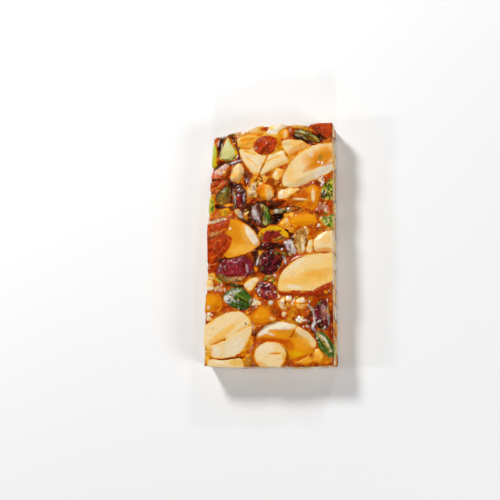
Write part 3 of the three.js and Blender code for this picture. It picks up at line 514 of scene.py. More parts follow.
# %% Looks of the pistachios
LOOKS.update({
    "pistachio_purple_left": ("kernel", "wine", [
        ("plum", -9, -6.4, 3, 2.6, 20, 0.8), ("maroon", -16.8, -7.4, 1.8, 2.4, 30, 0.7),
        ("tan", -12.6, -12.6, 4.6, 1.1, 6, 0.95), ("olive", -16.4, -11.8, 2.6, 1.1, -24, 0.95),
        # Its lilac strokes are painted glints.
        ("maroon", -7.2, -10, 1.2, 1.6, 0, 0.6), ("lilac", -7.9, -8.6, 0.45, 1.6, 10, 0.8),
        ("lilac", -17.8, -8.2, 0.5, 1.4, -20, 0.5)]),
    "pistachio_green_foot": ("kernel", "leaf", [
        ("moss", -9.6, -20.4, 3.4, 1.4, -30, 0.7), ("moss", -11, -22.6, 4, 0.6, -8, 0.9),
        ("moss", -8, -17, 1.6, 0.5, -50, 0.7), ("soot", -10.4, -23.2, 3.4, 0.3, -4, 0.8),
        ("lime", -10, -18.4, 2.6, 0.25, -35, 0.6), ("soot", -8.8, -19.6, 2.2, 0.2, -35, 0.6),
        # Its grey, white and lilac strokes are a pale sugar coat with painted sheen and glints on it.
        ("grey", -14.8, -19.4, 1.9, 1.4, 20, 1.3), ("glint_white", -15.4, -19.8, 1, 0.6, 30, 1.0),
        ("grey", -12.4, -16.8, 2.2, 0.6, 16, 1.0), ("grey", -12.6, -18.6, 0.5, 1.4, -20, 0.8),
        ("lilac", -6, -20.4, 0.8, 1.2, 0, 1.0)]),
    "pistachio_fan": ("flesh", "pear", [
        ("olive", -13.2, 31.2, 2.2, 0.7, 45, 1.3), ("mustard", -12.7, 33, 0.6, 1.8, 12, 1.1),
        ("olive", -16.6, 30.7, 2.4, 0.45, -6, 1.2), ("olive", -13.7, 35.6, 0.4, 2, 28, 0.8),
        ("moss", -18.8, 32.4, 0.5, 1.2, -30, 0.7), ("ivory", -16.2, 36.2, 0.6, 1.6, 10, 0.5)]),
    "pistachio_edge_head": ("flesh", "lime", [
        ("mustard", -20.6, 30.6, 0.8, 2, 0, 0.6), ("pear", -21, 34.4, 0.5, 2, 0, 0.5)]),
    "pistachio_olive_left": ("kernel", "olive", [
        ("bronze", -17.2, 15.6, 2.6, 1, 10, 0.8), ("moss", -17.2, 19, 1.6, 1.2, 40, 0.6),
        ("umber", -15.2, 18, 0.6, 3, -4, 0.6), ("lime", -20.4, 18.6, 0.9, 1.5, -20, 0.8),
        ("mustard", -20, 19.8, 0.8, 0.5, 0, 0.7), ("honey", -17.6, 14.9, 1.8, 0.4, 5, 0.6)]),
    "pistachio_maroon_upper": ("kernel", "maroon", [
        ("wine", -11.3, 15.6, 1.0, 3, 6, 0.9), ("scarlet", -11.6, 13.8, 0.5, 1.2, 0, 0.4),
        # Its lilac and grey strokes are painted glints.
        ("lilac", -13.1, 17.6, 0.5, 2.4, 8, 0.9), ("lilac", -12.3, 19.4, 0.3, 0.9, -40, 0.6),
        ("grey", -11.6, 20.2, 0.4, 0.3, 0, 0.7), ("lilac", -9.6, 16.4, 0.4, 0.9, 0, 0.8)]),
    "pistachio_green_middle": ("kernel", "bark", [
        # Its lilac and grey strokes are painted sheen.
        ("rose", -5, 10.6, 1.6, 3.2, 26, 0.6), ("lilac", -5.3, 10.6, 1.1, 2.8, 26, 1.0),
        ("umber", -3.3, 10.2, 0.8, 4, 22, 0.9), ("leaf", -1.2, 10.2, 1.4, 3.8, 16, 1.1),
        ("pear", -2, 8.2, 0.8, 1.6, 20, 0.9), ("pear", -2.8, 13.4, 0.6, 1.4, 40, 0.9),
        ("lime", -0.9, 11.4, 0.4, 1.6, 20, 0.7), ("moss", -0.2, 10.4, 0.4, 2.6, 14, 0.8),
        ("grey", -5.6, 11.2, 0.5, 1.4, 22, 0.8)]),
    "pistachio_olive_head": ("kernel", "olive", [
        ("bronze", 13, 38.3, 3, 0.9, -22, 0.9), ("leaf", 10, 40, 2, 0.6, -12, 0.7),
        ("pear", 11.6, 39.7, 1.8, 0.4, -14, 0.8), ("moss", 13.6, 39.2, 1.8, 0.3, -24, 0.6),
        ("pear", 16.2, 37, 1.4, 0.4, -45, 0.9), ("lime", 14.6, 38.3, 0.9, 0.3, -30, 0.6),
        ("maroon", 11, 37.9, 3.4, 0.5, -14, 0.9), ("rust", 14.8, 36.2, 2, 0.5, -16, 0.8),
        ("lilac", 9.4, 38.4, 0.9, 0.25, -10, 0.7)]),
    "pistachio_edge_right": ("chip", "leaf", [
        ("moss", 19, 21, 1, 1.2, 30, 0.6), ("lime", 21.9, 20.6, 0.5, 3, 0, 0.9),
        ("grey", 18.8, 18.2, 1.6, 1.1, 20, 0.8), ("olive", 20.8, 19, 1.2, 1.6, 0, 0.6),
        ("glint_white", 19.6, 17.6, 0.5, 0.4, 0, 0.9), ("bronze", 20.4, 16.8, 2.2, 0.9, 0, 0.8),
        ("soot", 19.6, 19.4, 0.35, 0.7, 20, 0.8), ("soot", 21, 18, 0.5, 0.3, 0, 0.7),
        ("pear", 20.4, 20.8, 0.3, 0.9, -20, 0.9), ("soot", 18.3, 16.6, 0.3, 0.8, 0, 0.7),
        ("straw", 19.6, 15.2, 2.4, 0.5, 2, 1.0), ("ember", 20.4, 14.6, 2, 0.3, 0, 0.6)]),
    "pistachio_yellow_middle": ("flesh", "wine", [
        ("bark", 1, 2.8, 3, 1.8, 0, 0.55), ("rust", 1, 2.6, 2.6, 1.2, 0, 0.5),
        ("olive", -3.4, 2.6, 0.9, 1.2, 20, 0.8), ("mustard", 0.4, 5.6, 3.9, 0.9, -2, 2.0),
        ("mustard", 4.8, 4.2, 2.4, 0.9, -45, 2.0), ("mustard", -2.9, 4.5, 1.8, 0.9, 48, 2.0),
        ("bronze", 0.8, 4.8, 3.2, 0.25, -4, 0.7), ("olive", 3.4, 1.4, 2.6, 0.4, 18, 0.8),
        ("straw", 3, 2.1, 2.4, 0.22, 22, 0.7), ("ember", 2, 4.5, 2.4, 0.3, -10, 0.5)]),
    "pistachio_maroon_middle": ("kernel", "maroon", [
        ("rust", 3.2, -4.2, 1, 1.8, -40, 0.8), ("olive", 2.4, -3.2, 1.2, 0.5, -30, 0.8),
        ("wine", 1.6, -6.4, 0.4, 2.8, -30, 0.7), ("wine", -1.4, -5, 0.7, 1.6, -40, 0.7),
        ("umber", -2.6, -4.4, 0.8, 1.4, -30, 0.7), ("soot", 0.4, -6.8, 0.5, 2.6, -34, 0.6),
        ("plum", 0, -8.8, 2.4, 0.8, 10, 0.7), ("leaf", -2.6, -8.4, 0.6, 0.6, 0, 0.8),
        # Its lilac stroke is a painted glint.
        ("lilac", -3.4, -6.4, 0.4, 1.2, -14, 0.8)]),
    "pistachio_purple_lower": ("kernel", "wine", [
        ("maroon", -1.4, -15, 2.6, 1, -35, 0.8), ("lilac", -3.2, -15.2, 0.5, 1.2, -30, 0.6),
        ("lilac", -0.8, -17, 0.4, 1, -50, 0.5), ("scarlet", 1, -18.6, 2, 0.4, -30, 0.6)]),
    "pistachio_purple_right": ("kernel", "plum", [
        ("umber", 17.8, -21.4, 1.6, 1.4, 0, 0.9), ("olive", 17.4, -20.8, 1, 0.5, 20, 0.6),
        ("bark", 18.4, -25, 1, 3, 4, 0.7), ("umber", 18.6, -28.6, 1.8, 1.4, 0, 0.9),
        ("rose", 19.4, -23.8, 1, 2.2, 6, 0.7), ("lilac", 19.2, -22.6, 0.6, 1, 0, 0.6),
        ("lilac", 20.9, -25, 0.5, 3, 4, 1.2), ("olive", 18.4, -30, 1.2, 0.5, 0, 0.8)]),
    "pistachio_green_corner": ("kernel", "leaf", [
        # Its grey and white strokes are painted sheen and glints.
        ("grey", 17.2, -31.6, 1.4, 0.6, -50, 1.2), ("moss", 18.4, -34.6, 0.5, 3, 36, 0.8),
        ("grey", 19.8, -34.4, 0.6, 2.8, 34, 1.3), ("glint_white", 20.2, -34, 0.3, 1.6, 34, 1.0),
        ("pear", 21, -35.6, 0.5, 2.6, 34, 0.9), ("moss", 22.2, -37, 0.5, 1.8, 20, 0.6)]),
    "pistachio_strip_upper": ("kernel", "olive", [
        ("bronze", 6, 12.3, 2.4, 0.7, 5, 0.8), ("ember", 9.2, 12.3, 2.4, 0.9, 4, 1.0),
        ("grey", 2.4, 11.6, 1.6, 0.7, 0, 1.0), ("tan", 5.6, 12.5, 2, 0.25, 6, 0.7)]),
    "pistachio_chip_right": ("chip", "leaf", [
        # Its white and grey strokes are painted glints.
        ("lime", 22, 7.4, 1, 2.6, 0, 1.1), ("glint_white", 18.8, 6.6, 1.4, 0.5, -50, 1.1),
        ("pear", 20.4, 9, 0.9, 0.5, 0, 0.8), ("moss", 19.6, 7.6, 0.6, 0.5, 0, 0.7),
        ("grey", 20.8, 7.6, 0.4, 0.8, -30, 0.7)]),
    "pistachio_crumbs_left": ("chip", "lime", [
        ("leaf", -21.2, 15.6, 0.7, 0.6, 0, 0.7), ("moss", -21, 13.2, 0.6, 0.5, 0, 0.8),
        ("glint_white", -21.8, 14.4, 0.3, 0.6, 0, 0.9), ("mustard", -21.2, 16.8, 0.6, 0.5, 0, 0.7),
        ("olive", -20.9, 12, 0.5, 0.6, 0, 0.7)]),
})
print(len(LOOKS), "looks; without one:", [n for n in NUTS if n not in LOOKS])

# %% [markdown]
# ## Kinds of surface
#
# For each kind of nut, `CROWN` is how far its middle stands up, `ROUGH` and `LUMP` are how deep and how wide its
# lumps are, and `FINE` is how deep its grain is. `EDGE` is how round its edge is, and `RAGGED` how ragged its
# outline. Pistachios of a `WRINKLED` colour have deeper ridges than the others.
#
# Some nuts have creases, each a line from one place to another and a depth. Some have facets, where a blade took
# part of them away: a place on the facet's edge, the way it faces in degrees, and its slope.

# %% Kinds of surface
CROWN = {"flesh": 0.2, "chip": 0.1, "skin": 0.25, "kernel": 0.6}
ROUGH = {"flesh": 0.1, "chip": 0.15, "skin": 0.14, "kernel": 0.16}
LUMP = {"flesh": 2.2, "chip": 1.2, "skin": 1.3, "kernel": 1.5}
FINE = {"flesh": 0.015, "chip": 0.05, "skin": 0.05, "kernel": 0.06}
EDGE = {"flesh": 0.22, "chip": 0.12, "skin": 0.3, "kernel": 0.8}
RAGGED = {"flesh": 0.2, "chip": 0.3, "skin": 0.24, "kernel": 0.2}
WRINKLED = {"maroon", "wine", "plum"}
CREASES = {
    "cashew_crushed_left": [(5.7, -18, 6, -22.6, 0.4), (6, -20.5, 9.2, -20.8, 0.35)],
    "cashew_crushed_right": [(8.8, -20.9, 13.8, -21.1, 0.4), (11.6, -18.4, 10.8, -20.8, 0.15)],
    "almond_skin_left": [(-22.6, 6.4, -15.8, 8.4, 0.2), (-22.4, 2, -16, 4.6, 0.25), (-20.4, -4.8, -14.6, 2.6, 0.2),
                         (-21.8, -2.8, -17, 2.4, 0.15)],
    "almond_skin_head": [(-5, 33.6, -2.4, 37.6, 0.2), (-3.2, 32.8, 0.6, 37.4, 0.2)],
    "cashew_big_foot": [(-20, -35.2, -15.5, -33.5, 0.35), (-15.5, -33.5, -6.6, -28.4, 0.22)],
    "cashew_round_foot": [(0.8, -38.4, 4.4, -38.2, 0.2)],
    "cashew_half_foot": [(10.2, -29, 7.8, -32.6, 0.4)],
    "cashew_block_left": [(-9.5, 33.6, -6, 32.4, 0.2), (-8.6, 31, -5, 28, 0.12)],
    "cashew_block_middle": [(-1.4, 29.6, 3.6, 31.6, 0.15)],
    "almond_shard_right": [(9.4, -0.5, 12.3, 5.4, 0.2)],
    "pistachio_green_middle": [(-3.2, 6.6, -2.4, 13.6, 0.5)],
    "pistachio_maroon_upper": [(-12.4, 13.6, -12.6, 20.4, 0.35), (-10.4, 14, -10.6, 19.6, 0.3)],
    "pistachio_purple_left": [(-17.6, -11.4, -8, -11, 0.3), (-8.8, -6.6, -8.6, -10.4, 0.4)],
    "almond_amber_head": [(-11.6, 37.4, -7, 37.6, 0.12)],
    "pistachio_olive_head": [(9, 39.4, 16.6, 36.6, 0.3)],
    "pistachio_green_corner": [(17.4, -31.6, 22.4, -38.6, 0.3)],
    "pistachio_green_foot": [(-14, -18, -7.6, -20.6, 0.25)],
}
FACETS = {
    "almond_half_upper": [(17.5, 26.3, -65, 0.32)],
    "almond_gold_left": [(-7.3, 3.1, 28, 0.3)],
    "cashew_block_middle": [(3, 31.6, 75, 0.25), (2, 28.4, -60, 0.2)],
    "cashew_block_left": [(-9.4, 30, 215, 0.2), (-4.6, 32.6, 40, 0.2)],
    "cashew_crushed_right": [(11, -20, 120, 0.3), (11, -20.6, -80, 0.3)],
    "cashew_crushed_left": [(5.5, -20.4, 250, 0.35), (6, -20, 30, 0.3)],
    "almond_tan_upper": [(8, 34.4, -60, 0.12)],
    "cashew_big_foot": [(-16, -34.4, -65, 0.08), (-15, -29.6, 120, 0.05)],
    "cashew_half_foot": [(4, -29.8, -90, 0.22), (11, -32.2, -125, 0.2), (2, -29.4, 100, 0.3)],
    "cashew_white_head": [(1, 41, 120, 0.25)],
    "cashew_pointed_left": [(-12.6, 24.6, -60, 0.3), (-12, 27, 30, 0.2)],
    "almond_amber_head": [(-9, 36.6, -80, 0.25)],
    "cashew_chip_upper": [(-6.4, 19, 20, 0.35), (-7, 18.6, 200, 0.25)],
    "cashew_chip_middle": [(-1.6, 18.4, 5, 0.3), (-2.4, 17, -90, 0.3)],
    "cashew_wedge_upper": [(6, 17.8, 100, 0.3)],
    "cashew_slab_right": [(18, 1.6, 120, 0.2), (19, -1.6, -90, 0.25)],
    "pistachio_fan": [(-15, 32, -60, 0.4), (-17.4, 34, 160, 0.2)],
    "almond_skin_left": [(-19, 4.4, -80, 0.1)],
    "cashew_chip_lower": [(-6.6, -13.6, 45, 0.35)],
    "almond_shard_right": [(11, 1, 160, 0.25)],
}
print(len(CREASES), "nuts with creases,", len(FACETS), "with facets")

# %% [markdown]
# ## A nut's surface
#
# A nut is a surface over two parameters, the angle round its middle and the share of the way out to its edge. It
# is nearly level, because the roller pressed it, and rounds down at its edge. Facets tip part of it away, creases
# cut into it and lumps roughen it. Skins and pistachios have ridges as well, along the lines where a noise
# crosses nought. Each nut could be sculpted by hand, but one formula gives every one of them its own shape.

# %% A nut's surface
HIGHEST = CAD_BOX[1][2] / MM - 0.05
CREASE_WIDTH = 0.24
FACET_START = 0.14
FACET_DEEPEST = 0.9
SKIN_RIDGES, KERNEL_RIDGES, WRINKLES = 0.22, 0.16, 0.28


def nut_level(nut, x, y):
    """The height of a nut's level plane, a + b x + c y."""
    a, b, c = nut["plane"]
    return a + b * x + c * y


def crease_depth(name, x, y):
    """A groove along each crease: its depth times a bell of the distance from the line."""
    depth = np.zeros(x.shape)
    for x0, y0, x1, y1, deep in CREASES.get(name, []):
        run = np.array([x1 - x0, y1 - y0])
        wander = 0.25 * lumps(np.stack([x, y, x * 0], -1), 1.3, seed=61)
        share = np.clip(((x - x0) * run[0] + (y - y0) * run[1]) / (run @ run), 0, 1)
        gap = np.abs(np.hypot(x - x0 - share * run[0], y - y0 - share * run[1]) - wander)
        depth += deep * np.exp(-(gap / CREASE_WIDTH) ** 2)
    return depth


def facet_drop(name, x, y):
    """Beyond a facet's edge the surface falls in proportion to the distance past it, from a soft start."""
    drop = np.zeros(x.shape)
    for x0, y0, turn, slope in FACETS.get(name, []):
        past = (x - x0) * math.cos(math.radians(turn)) + (y - y0) * math.sin(math.radians(turn))
        past = past + 0.22 * lumps(np.stack([x, y, x * 0], -1), 1.8, seed=62)
        drop += slope * 0.5 * (past + np.hypot(past, FACET_START) - FACET_START)
    return np.minimum(drop, FACET_DEEPEST)


def ridges(places, size, seed):
    """1 along the lines where a noise crosses nought, falling off to both sides as (1 - |noise|) squared."""
    return (1 - np.abs(crags(places, size, seed=seed))) ** 2


def nut_height(name, x, y, share, out, edge_round):
    """Height of a nut's upper surface: its level, a crown, a rounded edge, facets, creases and lumps."""
    nut, (kind, own, _) = READ[name], LOOKS[name]
    near = np.clip(edge_round - out, 0, edge_round)
    rounding = edge_round - np.sqrt(np.maximum(edge_round ** 2 - near ** 2, 0))
    places = np.stack([x, y, np.full(x.shape, nut["middle"][0])], -1)
    relief = ROUGH[kind] * crags(places, LUMP[kind], seed=3) + FINE[kind] * lumps(places, 0.7, seed=4)
    if kind == "skin":
        relief += SKIN_RIDGES * ridges(places * [0.6, 1.3, 1], 1.0, 5) - 0.1
    if kind == "kernel":
        high = WRINKLES if own in WRINKLED else KERNEL_RIDGES
        relief += high * ridges(places * [1.2, 0.6, 1], 1.4, 6) - 0.08
    return (nut_level(nut, x, y) + CROWN[kind] * (0.5 - share ** 2) - rounding
            - facet_drop(name, x, y) - crease_depth(name, x, y) + relief).clip(0, HIGHEST)


print("no nut rises above", round(HIGHEST, 2), "mm")

# %% [markdown]
# ## Outlines
#
# A nut's outline comes from the frame with its corners worn, a little larger and a little ragged. A chip was
# chopped, so its outline is cut back to straight lines, and each chop gives it a facet too. Where the knife cut a
# nut, its outline stays as it is and its edge is sharp. The kernel's round underside shows there as an arch:
# `lift` is how far the bottom of the wall stands above the nut's lowest point.

# %% Outlines
GROWN = 0.2
CUT_NEAR = 0.3
CUT_ROUND = 0.12
CHOPS = 5


def softened(radii, spread=0.7):
    """The outline with its corners worn: a bell-shaped average over neighbouring rays."""
    widest = math.ceil(3 * spread) + 1
    steps = np.arange(-widest, widest + 1)
    bell = np.exp(-0.5 * (steps / spread) ** 2)
    return sum(w * np.roll(radii, s) for w, s in zip(bell / bell.sum(), steps))


def chops(nut):
    """The ways a bit was chopped, from its own place: each one's turn, how far the bit reaches that way, two draws.

    The reach is the outline's furthest point along the turn, the largest r cos(angle - turn).
    """
    seeds = np.outer([12.9, 78.2, 37.7], np.arange(CHOPS) + 1) + nut["middle"].sum()
    shift, start, slope = np.modf(np.abs(np.sin(seeds)) * 437.5)[0]
    turns = np.radians(360 / CHOPS * np.arange(CHOPS) + 50 * shift)
    reach = (nut["radii"][:, None] * np.cos(ANGLES[:, None] - turns)).max(0)
    return turns, reach, start, slope


def straightened(nut):
    """The outline cut back to a line across each chop, along which r cos(angle - turn) stays the same."""
    turns, reach, start, _ = chops(nut)
    facing = np.maximum(np.cos(ANGLES[:, None] - turns), 0.01)
    return np.minimum(nut["radii"], (reach * (0.8 + 0.16 * start) / facing).min(1))


def chopped(nut):
    """Facets on a bit, one along each chop: where it starts, its turn and its slope."""
    turns, reach, start, slope = chops(nut)
    x, y = nut["middle"][:, None] + reach * (0.5 + 0.35 * start) * np.stack([np.cos(turns), np.sin(turns)])
    return list(zip(x, y, np.degrees(turns), 0.08 + 0.3 * slope))


def prepare(name):
    """Gives a nut its final outline, the roundness of its edge, how far the knife cut it, its lift and its lean.

    The lean is the cosine between a ray and the way the outline faces, 1 / sqrt(1 + (r' / r) squared).
    """
    nut, kind = READ[name], LOOKS[name][0]
    raw = nut["radii"]
    rim = nut["middle"] + raw[:, None] * RAYS
    cut = 1 - smoothstep(CUT_NEAR * 0.7, CUT_NEAR * 1.8, inside_knife(rim[:, 0], rim[:, 1]))
    level_rim = np.column_stack([rim, 0 * cut])
    whole = straightened(nut) if kind == "chip" else softened(raw)
    radii = raw + (whole + GROWN + RAGGED[kind] * crags(level_rim, 1.3, seed=71) - raw) * (1 - cut)
    tall = nut_level(nut, rim[:, 0], rim[:, 1]) - nut["low"]
    arch = 0.2 + 0.2 * crags(level_rim, 6, seed=72) + 0.4 * (1 - smoothstep(0.45, 1.0, softened(cut, 7)))
    slope = (np.roll(radii, -1) - np.roll(radii, 1)) / (4 * np.pi / TURNS) / radii
    nut.update(radii=radii, round=EDGE[kind] + (CUT_ROUND - EDGE[kind]) * cut, cut=cut, lift=tall * cut * arch,
               lean=1 / np.sqrt(1 + slope ** 2))


for nut_name in NUTS:
    prepare(nut_name)
    if LOOKS[nut_name][0] == "chip":
        FACETS[nut_name] = FACETS.get(nut_name, []) + chopped(READ[nut_name])
print("edges cut by the knife:", sum(READ[n]["cut"].max() > 0.5 for n in NUTS))

# %% [markdown]
# ## Meshes from rings
#
# Every closed piece is made of rings of points, from a point at the middle of its top to one under it. The faces
# between two rings are found with whole-array arithmetic: each point joins its neighbour and the two below them.
# Nothing is welded or filled afterwards, so the pieces are closed from the start.

# %% Meshes from rings


def ring_faces(rings, count, start=0):
    """Quads between neighbouring rings: a point, the one below it, the one after that, and the one above that."""
    ring, step = np.meshgrid(np.arange(rings - 1), np.arange(count), indexing="ij")
    following = (step + 1) % count
    upper, lower = start + ring * count, start + (ring + 1) * count
    return np.stack([upper + step, lower + step, lower + following, upper + following], -1).reshape(-1, 4)


def fan_faces(centre, first, count, flip):
    """Triangles from a ring to the point that closes it; the one at the other end is wound the other way."""
    step = np.arange(count)
    following = (step + 1) % count
    pair = (first + following, first + step) if flip else (first + step, first + following)
    return np.stack([np.full(count, centre), *pair], -1)


def closed_shape(rings, tints, glosses):
    """Points, faces, tints and glosses of rings of shape (rings, steps, 3), closed by a point at each end."""
    count, steps = rings.shape[:2]
    places = np.concatenate([rings[0].mean(0)[None], rings.reshape(-1, 3), rings[-1].mean(0)[None]])
    tint = np.concatenate([tints[0].mean(0)[None], tints.reshape(-1, 3), tints[-1].mean(0)[None]])
    gloss = np.concatenate([[glosses[0].mean()], glosses.ravel(), [glosses[-1].mean()]])
    faces = [ring_faces(count, steps, 1), fan_faces(0, 1, steps, False),
             fan_faces(len(places) - 1, 1 + (count - 1) * steps, steps, True)]
    return places, faces, tint, gloss


def make_piece(name, shapes, material, slot, *replaced):
    """Joins shapes into one mesh object at the origin, with their tint and gloss as attributes."""
    starts = np.cumsum([0] + [len(shape[0]) for shape in shapes])
    places = np.concatenate([shape[0] for shape in shapes]) * MM
    loops, sizes = [], []
    for start, shape in zip(starts, shapes):
        for faces in shape[1]:
            loops.append((faces + start).ravel())
            sizes.append(np.full(len(faces), faces.shape[1]))
    loops, sizes = np.concatenate(loops), np.concatenate(sizes)
    mesh = bpy.data.meshes.new(name)
    mesh.vertices.add(len(places))
    mesh.vertices.foreach_set("co", places.ravel())
    mesh.loops.add(len(loops))
    mesh.loops.foreach_set("vertex_index", loops.astype(np.int32))
    mesh.polygons.add(len(sizes))
    mesh.polygons.foreach_set("loop_start", np.concatenate([[0], np.cumsum(sizes)[:-1]]).astype(np.int32))
    mesh.update(calc_edges=True)
    mesh.validate()
    tint = mesh.attributes.new("tint", "FLOAT_COLOR", "POINT")
    tints = np.concatenate([shape[2] for shape in shapes])
    tint.data.foreach_set("color", np.concatenate([tints, np.ones((len(tints), 1))], 1).astype(np.float32).ravel())
    gloss = mesh.attributes.new("gloss", "FLOAT", "POINT")
    gloss.data.foreach_set("value", np.concatenate([shape[3] for shape in shapes]).astype(np.float32))
    mesh.polygons.foreach_set("use_smooth", np.ones(len(sizes), bool))
    mesh.materials.append(material)
    piece = bpy.data.objects.new(name, mesh)
    bpy.context.scene.collection.objects.link(piece)
    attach(piece, "root")
    if replaced:
        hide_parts(*replaced)
    return piece


print("a ring of 4 steps has", len(ring_faces(2, 4)), "faces below it")

# %% [markdown]
# ## Shader maths as Python
#
# A material is easier to read as sums than as a web of nodes. `Socket` wraps one output, and its operators add the
# Math nodes. `Maker` adds any other node from its type, its settings and its inputs.

# %% Shader maths as Python


class Socket:
    """One output of a node; arithmetic on it adds Math nodes."""

    def __init__(self, maker, out):
        self.maker, self.out = maker, out

    def _math(self, operation, *values):
        return self.maker.node("ShaderNodeMath", {"operation": operation}, dict(enumerate(values)))

    def __add__(self, other):
        return self._math("ADD", self, other)

    def __sub__(self, other):
        return self._math("SUBTRACT", self, other)

    def __rsub__(self, other):
        return self._math("SUBTRACT", other, self)

    def __mul__(self, other):
        return self._math("MULTIPLY", self, other)

    __radd__, __rmul__ = __add__, __mul__

    def clamped(self, low=0.0, high=1.0):
        """The value held between two limits."""
        return self._math("MINIMUM", self._math("MAXIMUM", self, low), high)


class Maker:
    """Adds nodes to a new material and links them."""

    def __init__(self, name):
        self.material = bpy.data.materials.new(name)
        self.material.use_nodes = True
        self.tree = self.material.node_tree
        self.shader = self.tree.nodes["Principled BSDF"]

    def node(self, kind, settings=None, inputs=None, output=0):
        """Adds a node, with settings by name and inputs by name or number, and hands back one of its outputs."""
        made = self.tree.nodes.new(kind)
        for key, value in (settings or {}).items():
            setattr(made, key, value)
        for key, value in (inputs or {}).items():
            self.feed(made.inputs[key], value)
        return Socket(self, made.outputs[output])

    def feed(self, socket, value):
        """Links another node's output to an input, or sets its value."""
        if isinstance(value, Socket):
            self.tree.links.new(value.out, socket)
        else:
            socket.default_value = value

    def mix(self, factor, a, b, blend="MIX"):
        """Colours a and b mixed; the colour sockets of a Mix node are its inputs 6 and 7 and its output 2."""
        return self.node("ShaderNodeMix", {"data_type": "RGBA", "blend_type": blend},
                         {0: factor, 6: a if isinstance(a, Socket) else (*a, 1),
                          7: b if isinstance(b, Socket) else (*b, 1)}, output=2)

    def place(self):
        """The place on the object, in metres."""
        return self.node("ShaderNodeTexCoord", output="Object")

    def stretched(self, turn, times):
        """The place, drawn out along a direction in the plan, so that a noise runs that many times longer there."""
        return self.node("ShaderNodeMapping", {"vector_type": "TEXTURE"},
                         {"Vector": self.place(), "Rotation": (0, 0, turn), "Scale": (times, 1.0, 1.0)})

    def noise(self, scale, detail, rough, vector=None):
        """Noise whose scale is given in lumps to the millimetre."""
        return self.node("ShaderNodeTexNoise", {}, {"Vector": vector or self.place(), "Scale": scale / MM,
                                                    "Detail": detail, "Roughness": rough})

    def bump(self, height, distance):
        """A Bump node on a height from 0 to 1, whose full height is the distance in millimetres."""
        return self.node("ShaderNodeBump", {}, {"Height": height, "Distance": distance * MM})

    def finish(self, **values):
        """Feeds the surface's own inputs and hands back the material."""
        for key, value in values.items():
            self.feed(self.shader.inputs[key.replace("_", " ")], value)
        return self.material


print("Socket and Maker ready")

# %% [markdown]
# ## The finishes
#
# All of them take their colour from the painted `tint` and their shine from `gloss`. Over that each has its own
# small detail: the fibre of a cut kernel, the veins of a skin, the streaks of a pistachio, and the ripples of
# boiled sugar under a clear coat. Where the gloss is low the knife broke the nut, and there `crumbled` gives any
# of them the rough inside of a kernel.

# %% Finishes
BUMP = 0.12
BROKEN_GLOSS = 0.28
COAT_ROUGHNESS, COAT_IOR = 0.045, 1.36
SCATTER_RADIUS, SCATTER_SCALE = (1.0, 0.4, 0.15), 0.8


def begun(name):
    """A maker, with the painted tint and gloss that every finish reads."""
    maker = Maker(name)
    return maker, *(maker.node("ShaderNodeAttribute", {"attribute_name": key}, {}, output=output)
                    for key, output in (("tint", "Color"), ("gloss", "Fac")))


def wet(maker, colour, gloss, dull, shiny, height, specular, coat, scatter):
    """The settings that every finish shares; gloss runs the roughness from dull to shiny."""
    return maker.finish(Base_Color=colour, Roughness=(dull - (dull - shiny) * gloss),
                        Normal=maker.bump(height, BUMP), Specular_IOR_Level=specular,
                        Coat_Weight=coat, Coat_Roughness=COAT_ROUGHNESS, Coat_IOR=COAT_IOR,
                        Subsurface_Weight=scatter, Subsurface_Radius=SCATTER_RADIUS,
                        Subsurface_Scale=SCATTER_SCALE * MM)


def shaded(maker, tint, shade):
    """A colour made lighter or darker by a factor."""
    grey = maker.node("ShaderNodeCombineColor", {}, {0: shade, 1: shade, 2: shade})
    return maker.mix(1.0, tint, grey, "MULTIPLY")


def flecked(maker, under, noise, edge, steep, most, colour):
    """Lays a named colour on where a noise passes an edge (below it if steep is negative), up to a most."""
    return maker.mix(((noise - edge) * steep).clamped(0.0, most), under, COLOURS[colour])


def crumbled(maker, tint, gloss, whole, height):
    """Gives the rough inside of a nut where the mesh marks a broken face with a low gloss."""
    broken = ((BROKEN_GLOSS - gloss) * 12.0).clamped()
    grain, pits = maker.noise(1.0, 6.0, 0.7), maker.noise(0.8, 5.0, 0.75)
    rough = shaded(maker, tint, (0.5 + 1.1 * grain).clamped(0.0, 1.2))
    rough = flecked(maker, rough, pits, 0.56, 6.0, 0.4, "amber")
    return maker.mix(broken, whole, rough), height * (1.0 - broken) + (grain - pits) * 3.0 * broken


def flesh_finish():
    """A cut kernel: grain, flecks and long fibres make the tint lighter and darker."""
    maker, tint, gloss = begun("cut_nut_flesh")
    grain, fleck = maker.noise(1.6, 5.0, 0.65), maker.noise(4.5, 2.0, 0.5)
    fibre = maker.noise(2.2, 3.0, 0.6, maker.stretched(0.35, 4.0))
    colour = shaded(maker, tint, (0.77 + 0.3 * grain + 0.12 * fleck + 0.18 * fibre).clamped(0.0, 1.2))
    height = maker.noise(0.9, 4.0, 0.6) * 0.7 + fleck * 0.3
    colour, height = crumbled(maker, tint, gloss, colour, height)
    return wet(maker, colour, gloss, 0.5, 0.3, height, 0.05, 0.6 * gloss, 0.2)


def skin_finish():
    """An almond's skin: dark veins with honey between them, and pale scratches the same way."""
    maker, tint, gloss = begun("almond_skin")
    veins = maker.noise(1.0, 5.0, 0.7, maker.stretched(0.85, 2.0))
    scratches = maker.noise(2.6, 2.0, 0.6, maker.stretched(0.85, 3.5))
    colour = flecked(maker, tint, veins, 0.5, 7.0, 0.75, "bark")
    colour = flecked(maker, colour, veins, 0.42, -6.0, 0.45, "honey")
    colour = flecked(maker, colour, scratches, 0.62, 9.0, 0.4, "tan")
    colour, height = crumbled(maker, tint, gloss, colour, veins * 3.0)
    return wet(maker, colour, gloss, 0.45, 0.25, height, 0.05, 0.35 * gloss, 0.05)


